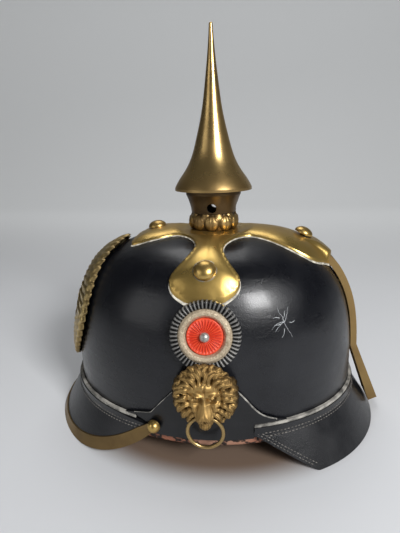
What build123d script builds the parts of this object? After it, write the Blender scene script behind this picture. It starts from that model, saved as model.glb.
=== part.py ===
from build123d import *
import os
from math import acos, asin, cos, pi, sin, sqrt

# Spiked leather helmet, in millimetres. The origin is on the table under the spike's axis,
# the front is at -X, the wearer's left side at -Y and +Z is up.

# Play between pieces that are sewn, clamped or screwed together, and the overrun of cuts.
seat = 0.3
pin_play = 0.1
overrun = 5.0

# Leather skull: an oval dome on a rim that the visors hold above the table.
skull_half_length = 108.4
skull_half_width = 86.3
skull_height = 119.4
skull_forward = 2.9
skull_wall = 3.0
rim_height = 22.0
crown_hole_radius = 11.0
fullness_share = 3.2
turn_shares = [0.0, 0.06, 0.14, 0.24, 0.36, 0.48, 0.6, 0.72, 0.82, 0.9, 0.96]

# Visors: a flange sewn to the skull, then a flare down to the table.
visor_wall = 2.7
flange_height = 9.0
bend_height = 3.5
front_foot_forward = 20.0
front_foot_half_length = 109.0
front_foot_half_width = 97.0
rear_foot_back = 20.0
rear_foot_half_length = 105.0
rear_foot_half_width = 95.5
front_edge_start = 105.0
front_tip_forward = 33.0
front_tip_rise = 4.0
rear_tip_back = 31.5
rear_tip_rise = 4.0
rear_corner_back = 73.0
rear_corner_radius = 6.0

# Piping in the seam over each visor.
welt_height = 1.8
welt_depth = 2.0

# Brass channel on the front visor's edge, and the studs at its ends.
trim_wall = 0.9
trim_front_width = 4.0
trim_end_width = 8.2
trim_start_extra = 13.0
trim_lip = 3.5
trim_lip_end = 52.0
trim_stud_radius = 4.4
trim_stud_shank_radius = 1.5
trim_stud_height = 8.2
trim_stud_depth = 6.6

# Side facings of leather.
patch_wall = 1.5
patch_front = 54.5
patch_back = 52.0
patch_arch_height = 46.0
patch_shoulder_half = 22.0
patch_shoulder_height = 33.0
patch_hip_half = 36.0
patch_hip_height = 17.0
patch_start_share = (-1, 0.3)
patch_end_share = (-1, -0.3)

# Brass band down the back.
spine_half_width = 10.0
spine_wall = 1.0
spine_bulge = 4.7
spine_top_bulge = 3.3
spine_end_back = 129.2
spine_end_height = 7.5
spine_foot_back = 123.0
spine_foot_height = 4.2
prong_half_width = 1.0
prong_half_length = 3.0
prong_clench = 2.5
spine_top_share = 0.58
spine_full_share = 0.5
spine_top_play_share = 0.01
spine_kink_share = 0.072
prong_turn_shares = [0.36, 0.14]

# Brass base plate with four arms, and its studs.
base_wall = 1.3
base_side_reach = 75.3
base_lobe_reach = 68.0
base_lobe_half = 22.3
base_waist_reach = 43.5
base_waist_half = 9.2
base_throat_front = 23.5
base_throat_back = 21.5
base_throat_side = 20.6
base_front_reach = 58.5
base_front_half = 25.5
base_rear_wide = 61.0
base_rear_half = 29.5
base_rear_shoulder = 76.0
base_rear_shoulder_half = 22.5
base_rear_reach = 87.0
base_ear_radius = 3.0
base_front_share = (1, 0.02)
base_ear_share = (-0.6, -0.8)
neck_seat_radius = 20.0
hood_half_width = 12.5
hood_rise = 6.2
hood_end_share = 0.505
hood_start_share = 0.78
base_stud_side = 63.0
base_stud_front = 44.0
base_stud_back = 67.0
base_stud_radius = 6.9
base_stud_height = 4.8
base_stud_shank_radius = 2.0
nut_radius = 4.5
nut_height = 2.5
base_nut_play = 0.6
hood_stud_play = 0.45

# Spike neck, its leaf collar and the spike.
neck_foot_radius = 15.0
neck_waist_radius = 16.6
neck_flare_radius = 18.1
neck_flare_height = 19.8
neck_top_radius = 20.4
neck_height = 27.2
neck_lip = 1.6
neck_wall = 1.5
neck_roof = 9.0
neck_hole_radius = 3.5
neck_hole_height = 16.6
collar_radius = 17.6
collar_foot_radius = 16.1
collar_foot_height = 2.3
collar_height = 12.4
leaf_count = 10
leaf_radius = 5.4
leaf_middle_radius = 13.5
leaf_middle_height = 7.6
leaf_tip_radius = 3.4
leaf_tip_middle_radius = 14.9
leaf_tip_middle_height = 10.4
thread_radius = 5.0
thread_play = 0.06
thread_length = 8.6
washer_height = 1.3
washer_radius = 19.4
spike_floor_height = 1.6
spike_lip = 1.8
spike_rim_radius = 28.35
spike_height = 107.6
spike_wall = 1.0
spike_tip_radius = 1.3
spike_profile_shares = [(0.978, 0.012), (0.855, 0.065), (0.723, 0.114), (0.536, 0.211), (0.429, 0.305),
                        (0.263, 0.489), (0.166, 0.665), (0.091, 0.834)]
spike_hollow_shares = [(0.94, 0.0), (0.81, 0.065), (0.68, 0.114), (0.495, 0.211), (0.388, 0.305),
                       (0.222, 0.489)]

# Cockades: a pleated ring, a raised ring, a pleated centre and a pin.
side_middle = 1.2
cockade_height = 71.0
cockade_radius = 22.2
cockade_thickness = 3.6
cockade_bore = 9.0
pleat_count = 50
pleat_radius = 0.75
silver_radius = 16.4
silver_inner_radius = 11.2
silver_height = 1.8
silver_crown = 1.0
centre_radius = 11.0
centre_height = 2.6
centre_crown = 1.0
pin_radius = 3.0
pin_height = 2.2
pin_shank_radius = 1.2

# Lion masks and their rings.
lion_height = 36.0
lion_radius = 19.6
mane_radius = 16.5
mane_stand = 4.5
lock_count = 12
lock_start_angle = -35.0
lock_range = 250.0
lock_radius = 4.2
lock_ring_radius = 15.5
crest_radius = 8.5
crest_rise = 9.8
crest_stand = 4.0
brow_radius = 10.5
brow_rise = 4.0
brow_stand = 3.5
muzzle_radius = 8.2
muzzle_drop = 5.5
muzzle_stand = 7.0
chin_radius = 5.6
chin_drop = 16.3
chin_stand = 5.0
lion_bolt_radius = 2.0
ring_radius = 11.05
ring_wire_radius = 1.15
ring_play = 0.4
ring_pivot_drop = 13.1
ring_pivot_stand = 6.2
ring_swing = 90.0
ring_end_play = 32.0
mouth_half = 7.5
mouth_radius = 2.9

# Front plate: a leaf wreath round a star with a plain boss.
plate_wall = 1.2
plate_stand = 2.2
plate_half_width = 49.0
plate_half_height = 48.0
plate_middle_height = 66.0
plate_top_back = 54.0
plate_relief = 2.2
plate_leaf_count = 18
plate_leaf_radius = 4.0
wreath_inner_half_width = 34.0
wreath_inner_half_height = 36.0
star_radius = 27.0
star_depth = 6.0
boss_radius = 10.0
post_radius = 1.6
post_side = 30.0

# Inside: sweatband and lining.
band_wall = 1.6
band_drop = 6.5
band_height = 26.0
lining_wall = 0.8
lining_stand = 8.0
lining_foot = 22.5
lining_hem = 4.0
lining_top_share = 0.9

crown_height = rim_height + skull_height
neck_base = crown_height + seat + base_wall + seat


def spread(turn_share):
    """Share of the half sizes that an oval keeps at a share of the quarter turn up from its rim."""
    return cos(turn_share * pi / 2) ** (2 / fullness_share)


def rise(turn_share):
    """Share of the height that an oval reaches at a share of the quarter turn up from its rim."""
    return sin(turn_share * pi / 2) ** (2 / fullness_share)


def rounding(share):
    """Share that is left of one half size of the oval where the other is used up to this share."""
    return (1 - abs(share) ** fullness_share) ** (1 / fullness_share)


def dome(grown, drop):
    """Solid of the skull's form with all its walls moved out by grown, and its foot lowered by drop."""
    half_width = skull_half_width + grown
    height = skull_height + grown
    with BuildPart() as form:
        with BuildSketch(Plane.XZ):
            with BuildLine():
                side = [(half_width * spread(share), height * rise(share)) for share in turn_shares]
                wall = Spline(*side, (0, height), tangents=((0, 1), (-1, 0)))
                foot = Polyline(wall @ 1, (0, -drop), (half_width, -drop))
                if drop > 0:
                    Line(foot @ 1, wall @ 0)
            make_face()
        revolve(axis=Axis.Z)
        scale(by=((skull_half_length + grown) / half_width, 1, 1))
    return form.part.moved(Location((-skull_forward, 0, rim_height)))


def back_point(turn_share, grown):
    """Point of the back's middle line in side view, on the skull's form moved out by grown."""
    back = (skull_half_length + grown) * spread(turn_share) - skull_forward
    return (back, rim_height + (skull_height + grown) * rise(turn_share))


def skull_plane(across, beside, height_share, grown):
    """Plane that touches the skull's form moved out by grown, from shares of its half sizes."""
    half_length = skull_half_length + grown
    half_width = skull_half_width + grown
    height = skull_height + grown
    reach = sqrt(across ** 2 + beside ** 2)
    normal = Vector(
        reach ** (fullness_share - 2) * across / half_length,
        reach ** (fullness_share - 2) * beside / half_width,
        height_share ** (fullness_share - 1) / height,
    )
    origin = (across * half_length - skull_forward, beside * half_width, rim_height + height_share * height)
    return Plane(origin=origin, x_dir=Vector(0, 1, 0).cross(normal), z_dir=normal)


def top_plane(back, side, grown):
    """Plane on the skull's top over a place in plan."""
    across = (back + skull_forward) / (skull_half_length + grown)
    beside = side / (skull_half_width + grown)
    return skull_plane(across, beside, rounding(sqrt(across ** 2 + beside ** 2)), grown)


def side_plane(height, grown):
    """Plane on the skull's left flank, on the middle line of the cockade and the lion."""
    across = (side_middle + skull_forward) / (skull_half_length + grown)
    height_share = height / (skull_height + grown)
    beside = -sqrt(rounding(height_share) ** 2 - across ** 2)
    plane = skull_plane(across, beside, height_share, grown)
    return Plane(origin=plane.origin, x_dir=plane.z_dir.cross(Vector(0, 0, -1)), z_dir=plane.z_dir)


def mirrored(plane):
    """The same plane on the helmet's other side."""
    return Plane(
        origin=(plane.origin.X, -plane.origin.Y, plane.origin.Z),
        x_dir=(plane.x_dir.X, -plane.x_dir.Y, plane.x_dir.Z),
        z_dir=(plane.z_dir.X, -plane.z_dir.Y, plane.z_dir.Z),
    )


os.makedirs("parts", exist_ok=True)
skull_form = dome(0, 0)
skull_hollow = dome(-skull_wall, overrun)
seat_form = dome(seat, overrun)


def hood_stand(step):
    """How far the hood over the spine's top stands off the skull, from its start (0) to its end (1)."""
    return seat + step * (hood_rise - seat)


back_stud_reach = (base_stud_back + skull_forward) / skull_half_length
back_stud_share = acos(back_stud_reach ** (fullness_share / 2)) * 2 / pi
back_stud_step = (hood_start_share - back_stud_share) / (hood_start_share - hood_end_share)
base_outer = seat + base_wall
base_studs_at = [
    (-base_stud_front, 0, base_outer),
    (base_stud_back, 0, hood_stand(back_stud_step) + hood_stud_play),
    (0, -base_stud_side, base_outer),
    (0, base_stud_side, base_outer),
]
base_stud_planes = [top_plane(*place) for place in base_studs_at]
lion_seat = seat + patch_wall + seat
cockade_plane = side_plane(cockade_height, seat)
lion_plane = side_plane(lion_height, lion_seat)
post_share = rounding(plate_middle_height / skull_height)
post_side_share = post_side / skull_half_width
post_forward_share = sqrt(post_share ** 2 - post_side_share ** 2)
post_planes = [
    skull_plane(-post_forward_share, side * post_side_share, plate_middle_height / skull_height, 0)
    for side in (-1, 1)
]
bend_z = rim_height + bend_height
flange_z = rim_height + flange_height
tip_z = rim_height + front_tip_rise
flange_half_length = skull_half_length + seat + visor_wall
flange_half_width = skull_half_width + seat + visor_wall
trim_grown = pin_play + trim_wall
stud_forward_share = (skull_forward - front_tip_forward) / (flange_half_length + trim_grown)
stud_side_share = sqrt(1 - stud_forward_share ** 2)
trim_stud_planes = [
    Plane(
        origin=(-front_tip_forward, side * (flange_half_width + trim_grown) * stud_side_share,
                tip_z + trim_end_width / 2),
        z_dir=(stud_forward_share / flange_half_length, side * stud_side_share / flange_half_width, 0),
    )
    for side in (-1, 1)
]
prong_planes = [
    Plane(origin=(back_point(share, 0)[0], 0, back_point(share, 0)[1]), x_dir=(0, 1, 0),
          z_dir=skull_plane(spread(share), 0, rise(share), 0).z_dir)
    for share in prong_turn_shares
]
inner_depth = skull_wall + 2 * seat + pin_play


# Skull: the leather shell with its crown hole and the holes of everything fixed to it.
with BuildPart() as skull_shell:
    add(skull_form)
    add(skull_hollow, mode=Mode.SUBTRACT)
    with BuildSketch(Plane.XY.offset(crown_height + overrun)):
        Circle(crown_hole_radius)
    extrude(amount=-2 * overrun - skull_wall, mode=Mode.SUBTRACT)
    with Locations(*base_stud_planes):
        Cylinder(base_stud_shank_radius + pin_play, 6 * overrun, mode=Mode.SUBTRACT)
    with Locations(cockade_plane, mirrored(cockade_plane)):
        Cylinder(pin_shank_radius + pin_play, 4 * overrun, mode=Mode.SUBTRACT)
    with Locations(lion_plane, mirrored(lion_plane)):
        Cylinder(lion_bolt_radius + pin_play, 4 * overrun, mode=Mode.SUBTRACT)
    with Locations(*post_planes):
        Cylinder(post_radius + pin_play, 4 * overrun, mode=Mode.SUBTRACT)
    with Locations(*trim_stud_planes):
        Cylinder(trim_stud_shank_radius + pin_play, 2 * trim_stud_height, mode=Mode.SUBTRACT)
    with Locations(*prong_planes):
        Box(2 * (prong_half_length + pin_play), 2 * (prong_half_width + pin_play), 4 * overrun,
            mode=Mode.SUBTRACT)
skull_shell.part.label = "skull_shell"
export_step(skull_shell.part, "parts/skull_shell.step")


def visor_form(foot_back, foot_half_length, foot_half_width, grown):
    """Solid inside a visor's outer face: straight down the flange, then flaring out past the table."""
    deep = overrun / bend_z
    low_half_length = foot_half_length + (foot_half_length - flange_half_length) * deep
    low_half_width = foot_half_width + (foot_half_width - flange_half_width) * deep
    with BuildPart() as form:
        with BuildSketch(Plane((foot_back + (foot_back + skull_forward) * deep, 0, -overrun))):
            Ellipse(low_half_length + grown, low_half_width + grown)
        with BuildSketch(Plane((-skull_forward, 0, bend_z))):
            Ellipse(flange_half_length + grown, flange_half_width + grown)
        with BuildSketch(Plane((-skull_forward, 0, flange_z + 2 * overrun))):
            Ellipse(flange_half_length + grown, flange_half_width + grown)
        loft(ruled=True)
    return form.part


def front_form(grown):
    """Solid inside the front visor's outer face moved out by grown."""
    return visor_form(-front_foot_forward, front_foot_half_length, front_foot_half_width, grown)


def rear_form(grown):
    """Solid inside the rear visor's outer face moved out by grown."""
    return visor_form(rear_foot_back, rear_foot_half_length, rear_foot_half_width, grown)


far_front = front_foot_forward + front_foot_half_length + 2 * overrun
far_back = rear_foot_back + rear_foot_half_length + 2 * overrun
far_side = 2 * skull_half_width


def front_blank(lift):
    """Side view of the front visor, from its lower edge moved up by lift to its seam."""
    with BuildSketch() as blank:
        with BuildLine():
            low = Line((-far_front, lift), (-front_edge_start, lift))
            arc = TangentArc(low @ 1, (-front_tip_forward, tip_z + lift), tangent=low % 1)
            Polyline(arc @ 1, (-front_tip_forward - flange_height, tip_z + flange_height / 4 + lift),
                     (-front_tip_forward - 3 * flange_height, flange_z), (-far_front, flange_z), low @ 0)
        make_face()
    return blank.sketch


# Front visor: leather, its edge climbing back to a point on the skull's side.
visor_lift = trim_wall + pin_play
front_outer = front_form(0)
front_inner = front_form(-visor_wall)
with BuildPart() as front_visor:
    add(front_outer)
    add(front_inner, mode=Mode.SUBTRACT)
    with BuildSketch(Plane.XZ):
        add(front_blank(visor_lift))
    extrude(amount=far_side, both=True, mode=Mode.INTERSECT)
front_visor.part.label = "front_visor"
export_step(front_visor.part, "parts/front_visor.step")

# Rear visor: leather, with a straight slanting edge from its front corner to the table.
rear_outer = rear_form(0)
rear_inner = rear_form(-visor_wall)
with BuildPart() as rear_visor:
    add(rear_outer)
    add(rear_inner, mode=Mode.SUBTRACT)
    with BuildSketch(Plane.XZ) as rear_blank:
        with BuildLine():
            Polyline((rear_tip_back, rim_height + rear_tip_rise), (rear_corner_back, 0), (far_back, 0),
                     (far_back, flange_z), (rear_tip_back, flange_z), close=True)
        make_face()
        fillet(rear_blank.vertices().sort_by_distance((rear_corner_back, 0))[0], rear_corner_radius)
    extrude(amount=far_side, both=True, mode=Mode.INTERSECT)
rear_visor.part.label = "rear_visor"
export_step(rear_visor.part, "parts/rear_visor.step")

# Piping: a leather roll over the seam of each visor.
welt_form = dome(seat + welt_depth, overrun)
welt_front = front_tip_forward + 1.5 * flange_height
for name, nearest, align in (
    ("front_welt", -welt_front, Align.MAX),
    ("rear_welt", rear_tip_back, Align.MIN),
):
    with BuildPart() as welt:
        add(welt_form)
        add(seat_form, mode=Mode.SUBTRACT)
        with BuildSketch(Plane.XZ):
            with Locations((nearest, flange_z + pin_play)):
                Rectangle(far_front, welt_height, align=(align, Align.MIN))
        extrude(amount=far_side, both=True, mode=Mode.INTERSECT)
    welt.part.label = name
    export_step(welt.part, f"parts/{name}.step")

# Side facing: an arched piece of leather over the side seam.
patch_form = dome(seat + patch_wall, overrun)
patch_foot = flange_z + pin_play + welt_height + seat
patch_shoulder = rim_height + patch_shoulder_height
patch_hip = rim_height + patch_hip_height
with BuildPart() as side_patch_left:
    add(patch_form)
    add(seat_form, mode=Mode.SUBTRACT)
    with BuildSketch(Plane.XZ):
        with BuildLine():
            Polyline((-patch_front, patch_foot), (-welt_front + seat, patch_foot),
                     (-front_tip_forward, tip_z + visor_lift + 2 * seat),
                     (-front_tip_forward + seat, rim_height), (rear_tip_back - seat, rim_height),
                     (rear_tip_back - seat, patch_foot), (patch_back, patch_foot))
            Spline((patch_back, patch_foot), (side_middle + patch_hip_half, patch_hip),
                   (side_middle + patch_shoulder_half, patch_shoulder),
                   (side_middle, rim_height + patch_arch_height),
                   (side_middle - patch_shoulder_half, patch_shoulder),
                   (side_middle - patch_hip_half, patch_hip), (-patch_front, patch_foot),
                   tangents=(patch_start_share, patch_end_share))
        make_face()
    extrude(amount=far_side, mode=Mode.INTERSECT)
    with Locations(lion_plane):
        Cylinder(lion_bolt_radius + pin_play, 4 * overrun, mode=Mode.SUBTRACT)
    with Locations(trim_stud_planes[0]):
        Cylinder(trim_stud_shank_radius + pin_play, 2 * trim_stud_height, mode=Mode.SUBTRACT)
side_patch_left.part.label = "side_patch_left"
export_step(side_patch_left.part, "parts/side_patch_left.step")

# Trim: a brass strip on the front visor's face, folded under its edge to a lip inside.
trim_outer = front_form(trim_grown)
trim_seat = front_form(pin_play)
lip_inner = front_form(-visor_wall - pin_play - trim_wall)
lip_seat = front_form(-visor_wall - pin_play)
with BuildPart() as visor_room:
    add(trim_seat)
    add(lip_seat, mode=Mode.SUBTRACT)
    with BuildSketch(Plane.XZ):
        add(front_blank(trim_wall))
    extrude(amount=far_side, both=True, mode=Mode.INTERSECT)
with BuildPart() as trim_strip:
    add(trim_outer)
    add(trim_seat, mode=Mode.SUBTRACT)
    with BuildSketch(Plane.XZ):
        with BuildLine():
            low = Line((-far_front, 0), (-front_edge_start, 0))
            low_arc = TangentArc(low @ 1, (-front_tip_forward, tip_z), tangent=low % 1)
            end = Line(low_arc @ 1, (-front_tip_forward, tip_z + trim_end_width))
            high = Line((-far_front, trim_front_width),
                        (-front_edge_start - trim_start_extra, trim_front_width))
            TangentArc(high @ 1, end @ 1, tangent=high % 1)
            Line(high @ 0, low @ 0)
        make_face()
        with Locations(end @ 0.5):
            Circle(trim_end_width / 2)
    extrude(amount=far_side, both=True, mode=Mode.INTERSECT)
with BuildPart() as visor_trim:
    add(trim_outer)
    add(lip_inner, mode=Mode.SUBTRACT)
    with BuildSketch(Plane.XZ):
        add(front_blank(0))
        add(front_blank(trim_lip), mode=Mode.SUBTRACT)
        with Locations((-trim_lip_end, 0)):
            Rectangle(far_front, far_front, align=(Align.MAX, Align.CENTER), mode=Mode.INTERSECT)
    extrude(amount=far_side, both=True, mode=Mode.INTERSECT)
    add(trim_strip.part)
    add(visor_room.part, mode=Mode.SUBTRACT)
    add(seat_form, mode=Mode.SUBTRACT)
    with Locations(*trim_stud_planes):
        Cylinder(trim_stud_shank_radius + pin_play, 2 * trim_stud_height, mode=Mode.SUBTRACT)
visor_trim.part.label = "visor_trim"
export_step(visor_trim.part, "parts/visor_trim.step")


def domed_pin(head_radius, head_height, shank_radius, depth):
    """Round-headed pin on the Z axis, its head's flat at zero and its shank down to depth."""
    with BuildPart() as pin:
        with BuildSketch(Plane.XZ):
            with BuildLine():
                Polyline((0, head_height), (0, -depth), (shank_radius, -depth), (shank_radius, 0),
                         (head_radius, 0))
                RadiusArc((head_radius, 0), (0, head_height),
                          -(head_radius ** 2 + head_height ** 2) / (2 * head_height))
            make_face()
        revolve(axis=Axis.Z)
    return pin.part


# Trim studs: ball-headed pins through the trim's ends into the skull.
trim_stud = domed_pin(trim_stud_radius, trim_stud_radius, trim_stud_shank_radius, trim_stud_depth)
with BuildPart() as trim_studs:
    with Locations(*trim_stud_planes):
        add(trim_stud)
trim_studs.part.label = "trim_studs"
export_step(trim_studs.part, "parts/trim_studs.step")


def spine_face(grown, top_share, end_forward):
    """Side view between the skull's back and the spine's outer face moved out by grown."""
    with BuildSketch() as face:
        with BuildLine():
            full = [back_point(spine_full_share + (spine_kink_share - spine_full_share) * step,
                               spine_bulge + grown)
                    for step in (0, 0.25, 0.5, 0.75, 1)]
            outer = Spline(back_point(top_share, spine_top_bulge + grown), *full)
            Polyline(outer @ 1, (spine_end_back + grown, spine_end_height),
                     (spine_foot_back, spine_foot_height), back_point(spine_kink_share, end_forward))
            inner = [back_point(top_share + (spine_kink_share - top_share) * step, end_forward)
                     for step in (1, 0.75, 0.5, 0.25, 0)]
            Spline(*inner)
            Line(inner[-1], outer @ 0)
        make_face()
    return face.sketch


# Spine: a brass channel, arched over the skull's back and straight over the rear visor.
with BuildPart() as rear_spine:
    with BuildSketch(Plane.XZ):
        add(spine_face(0, spine_top_share, seat))
    extrude(amount=spine_half_width, both=True)
    with BuildSketch(Plane.XZ):
        add(spine_face(-spine_wall, spine_top_share, -overrun))
    extrude(amount=spine_half_width - spine_wall, both=True, mode=Mode.SUBTRACT)
rear_spine.part.label = "rear_spine"
export_step(rear_spine.part, "parts/rear_spine.step")

# Prongs: flat strips from the spine through the skull, clenched inside.
with BuildPart() as spine_prongs:
    with Locations(*[plane.offset(-inner_depth) for plane in prong_planes]):
        Box(2 * prong_half_length, 2 * prong_half_width, inner_depth + spine_bulge - spine_wall - seat,
            align=(Align.CENTER, Align.CENTER, Align.MIN))
        with Locations((0, -prong_clench, 0)):
            Box(2 * prong_half_length, 2 * prong_clench, prong_half_width,
                align=(Align.CENTER, Align.CENTER, Align.MAX))
spine_prongs.part.label = "spine_prongs"
export_step(spine_prongs.part, "parts/spine_prongs.step")

# Base plate: a thin brass cross shaped to the crown, with a hood over the spine's top.
with BuildSketch() as base_outline:
    with BuildLine():
        front_side = Spline((-base_front_reach, -base_front_half), (-base_throat_front, -base_throat_side),
                            (-base_waist_half, -base_waist_reach), (-base_lobe_half, -base_lobe_reach),
                            tangents=(base_front_share, base_ear_share))
        side_end = ThreePointArc(front_side @ 1, (0, -base_side_reach), (base_lobe_half, -base_lobe_reach))
        back_side = Spline(side_end @ 1, (base_waist_half, -base_waist_reach),
                           (base_throat_back, -base_throat_side), (base_rear_wide, -base_rear_half),
                           (base_rear_shoulder, -base_rear_shoulder_half), (base_rear_reach, 0))
        Polyline(back_side @ 1, (-base_front_reach, 0), front_side @ 0)
    make_face()
    mirror(about=Plane.XZ)
    ears = base_outline.vertices().filter_by(lambda ear: abs(abs(ear.Y) - base_lobe_reach) < seat)
    fillet(ears, base_ear_radius)
with BuildPart() as spine_room:
    with BuildSketch(Plane.XZ):
        add(spine_face(seat, spine_top_share + spine_top_play_share, -overrun))
    extrude(amount=spine_half_width + seat, both=True)
with BuildPart() as hood:
    with BuildSketch(Plane.XZ):
        with BuildLine():
            hood_top = Polyline(*[
                back_point(hood_start_share + (hood_end_share - hood_start_share) * step, hood_stand(step))
                for step in (0, 0.25, 0.5, 0.75, 1)
            ])
            Polyline(hood_top @ 1, back_point(hood_end_share, -overrun),
                     back_point(hood_start_share, -2 * overrun), hood_top @ 0)
        make_face()
    extrude(amount=hood_half_width, both=True)
with BuildPart() as spike_base:
    add(dome(base_outer, 0))
    add(hood.part)
    with BuildSketch(Plane.XY.offset(crown_height)):
        Circle(neck_seat_radius)
    extrude(amount=neck_base - crown_height)
    with Locations(*base_stud_planes):
        Cylinder(base_stud_shank_radius + pin_play, 6 * overrun, mode=Mode.SUBTRACT)
    add(seat_form, mode=Mode.SUBTRACT)
    add(spine_room.part, mode=Mode.SUBTRACT)
    with BuildSketch(Plane.XY.offset(crown_height)):
        Circle(crown_hole_radius)
    extrude(amount=2 * overrun, mode=Mode.SUBTRACT)
    with BuildSketch(Plane.XY.offset(rim_height)):
        add(base_outline.sketch)
    extrude(amount=2 * skull_height, mode=Mode.INTERSECT)
spike_base.part.label = "spike_base"
export_step(spike_base.part, "parts/spike_base.step")

# Base studs: domed screws through the plate's arms and the skull.
with BuildPart() as base_studs:
    for place, plane in zip(base_studs_at, base_stud_planes):
        depth = place[2] + inner_depth + base_nut_play + nut_height + seat
        with Locations(plane):
            add(domed_pin(base_stud_radius, base_stud_height, base_stud_shank_radius, depth))
base_studs.part.label = "base_studs"
export_step(base_studs.part, "parts/base_studs.step")


def nut(shank_radius):
    """Round nut with its outer face at zero, for a shank along the Z axis."""
    with BuildPart() as ring:
        Cylinder(nut_radius, nut_height, align=(Align.CENTER, Align.CENTER, Align.MAX))
        Cylinder(shank_radius + thread_play, nut_height, align=(Align.CENTER, Align.CENTER, Align.MAX),
                 mode=Mode.SUBTRACT)
    return ring.part


# Nuts inside the skull on the base studs.
with BuildPart() as base_nuts:
    for place, plane in zip(base_studs_at, base_stud_planes):
        with Locations(plane.offset(-place[2] - inner_depth - base_nut_play)):
            add(nut(base_stud_shank_radius))
base_nuts.part.label = "base_nuts"
export_step(base_nuts.part, "parts/base_nuts.step")

# Neck: a flared brass tube with ventilation holes and a threaded boss in its roof.
neck_top = neck_base + neck_height
with BuildPart() as spike_neck:
    with BuildSketch(Plane.XZ):
        with BuildLine():
            foot = Polyline((crown_hole_radius, neck_base), (neck_foot_radius, neck_base),
                            (neck_foot_radius, neck_base + collar_height + pin_play),
                            (neck_waist_radius, neck_base + collar_height + pin_play))
            wall = ThreePointArc(foot @ 1, (neck_flare_radius, neck_base + neck_flare_height),
                                 (neck_top_radius, neck_top - neck_lip))
            Polyline(wall @ 1, (neck_top_radius, neck_top), (thread_radius + thread_play, neck_top),
                     (thread_radius + thread_play, neck_top - neck_roof),
                     (thread_radius + neck_wall, neck_top - neck_roof),
                     (thread_radius + neck_wall, neck_top - neck_wall),
                     (neck_foot_radius - neck_wall, neck_top - neck_wall),
                     (neck_foot_radius - neck_wall, neck_base + neck_wall),
                     (crown_hole_radius, neck_base + neck_wall), foot @ 0)
        make_face()
    revolve(axis=Axis.Z)
    with BuildSketch(Plane.XZ):
        with Locations((0, neck_base + neck_hole_height)):
            Circle(neck_hole_radius)
    extrude(amount=2 * neck_top_radius, both=True, mode=Mode.SUBTRACT)
    with BuildSketch(Plane.YZ):
        with Locations((0, neck_base + neck_hole_height)):
            Circle(neck_hole_radius)
    extrude(amount=2 * neck_top_radius, both=True, mode=Mode.SUBTRACT)
    with BuildSketch(Plane.XY.offset(neck_top - neck_roof)):
        Circle(thread_radius + neck_wall)
        Circle(thread_radius + thread_play, mode=Mode.SUBTRACT)
    extrude(amount=neck_roof)
spike_neck.part.label = "spike_neck"
export_step(spike_neck.part, "parts/spike_neck.step")

# Leaf collar: a ring of rounded leaves round the neck's foot.
collar_bore = neck_foot_radius + pin_play
with BuildPart() as leaf_collar:
    with BuildSketch(Plane.XZ):
        with BuildLine():
            Polyline((collar_bore, neck_base + pin_play), (collar_foot_radius, neck_base + pin_play),
                     (collar_radius, neck_base + collar_foot_height),
                     (collar_radius, neck_base + collar_height),
                     (collar_bore, neck_base + collar_height), close=True)
        make_face()
    revolve(axis=Axis.Z)
    with PolarLocations(leaf_middle_radius, leaf_count, start_angle=90):
        with Locations((0, 0, neck_base + leaf_middle_height)):
            Sphere(leaf_radius)
    with PolarLocations(leaf_tip_middle_radius, leaf_count, start_angle=90 + 180 / leaf_count):
        with Locations((0, 0, neck_base + leaf_tip_middle_height)):
            Sphere(leaf_tip_radius)
    with BuildSketch(Plane.XY.offset(neck_base + pin_play)):
        Circle(2 * collar_radius)
        Circle(collar_bore, mode=Mode.SUBTRACT)
    extrude(amount=collar_height - pin_play, mode=Mode.INTERSECT)
leaf_collar.part.label = "leaf_collar"
export_step(leaf_collar.part, "parts/leaf_collar.step")

# Washer: a leather ring between the neck's roof and the spike's floor.
washer_base = neck_top + pin_play
with BuildPart() as spike_washer:
    with BuildSketch(Plane.XY.offset(washer_base)):
        Circle(washer_radius)
        Circle(thread_radius + seat, mode=Mode.SUBTRACT)
    extrude(amount=washer_height)
spike_washer.part.label = "spike_washer"
export_step(spike_washer.part, "parts/spike_washer.step")

# Spike screw: the disc soldered into the spike's mouth, with the stub that screws into the neck.
floor_base = washer_base + washer_height + pin_play
with BuildPart() as spike_screw:
    with BuildSketch(Plane.XY.offset(floor_base)):
        Circle(spike_rim_radius - spike_wall - pin_play)
    extrude(amount=spike_floor_height)
    with BuildSketch(Plane.XY.offset(floor_base)):
        Circle(thread_radius)
    extrude(amount=-thread_length)
spike_screw.part.label = "spike_screw"
export_step(spike_screw.part, "parts/spike_screw.step")

# Spike: a spun brass shell, flared at the rim and drawn out to a rounded tip.
spike_base_z = floor_base + spike_lip
tip_z_top = spike_base_z + spike_height
with BuildPart() as spike:
    with BuildSketch(Plane.XZ):
        with BuildLine():
            flank = Spline(
                (spike_rim_radius, spike_base_z),
                *[(spike_rim_radius * out, spike_base_z + spike_height * up)
                  for out, up in spike_profile_shares],
                (spike_tip_radius, tip_z_top - spike_tip_radius),
            )
            RadiusArc(flank @ 1, (0, tip_z_top), -spike_tip_radius)
            hollow = [
                (spike_rim_radius * out, floor_base + spike_floor_height + spike_wall + spike_height * up)
                for out, up in spike_hollow_shares
            ]
            roof = Line((0, tip_z_top), (0, hollow[-1][1]))
            Polyline(roof @ 1, hollow[-1])
            Spline(*reversed(hollow))
            Polyline(hollow[0], (spike_rim_radius - spike_wall, floor_base + spike_floor_height + pin_play),
                     (spike_rim_radius - spike_wall, floor_base), (spike_rim_radius, floor_base), flank @ 0)
        make_face()
    revolve(axis=Axis.Z)
spike.part.label = "spike"
export_step(spike.part, "parts/spike.step")

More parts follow.
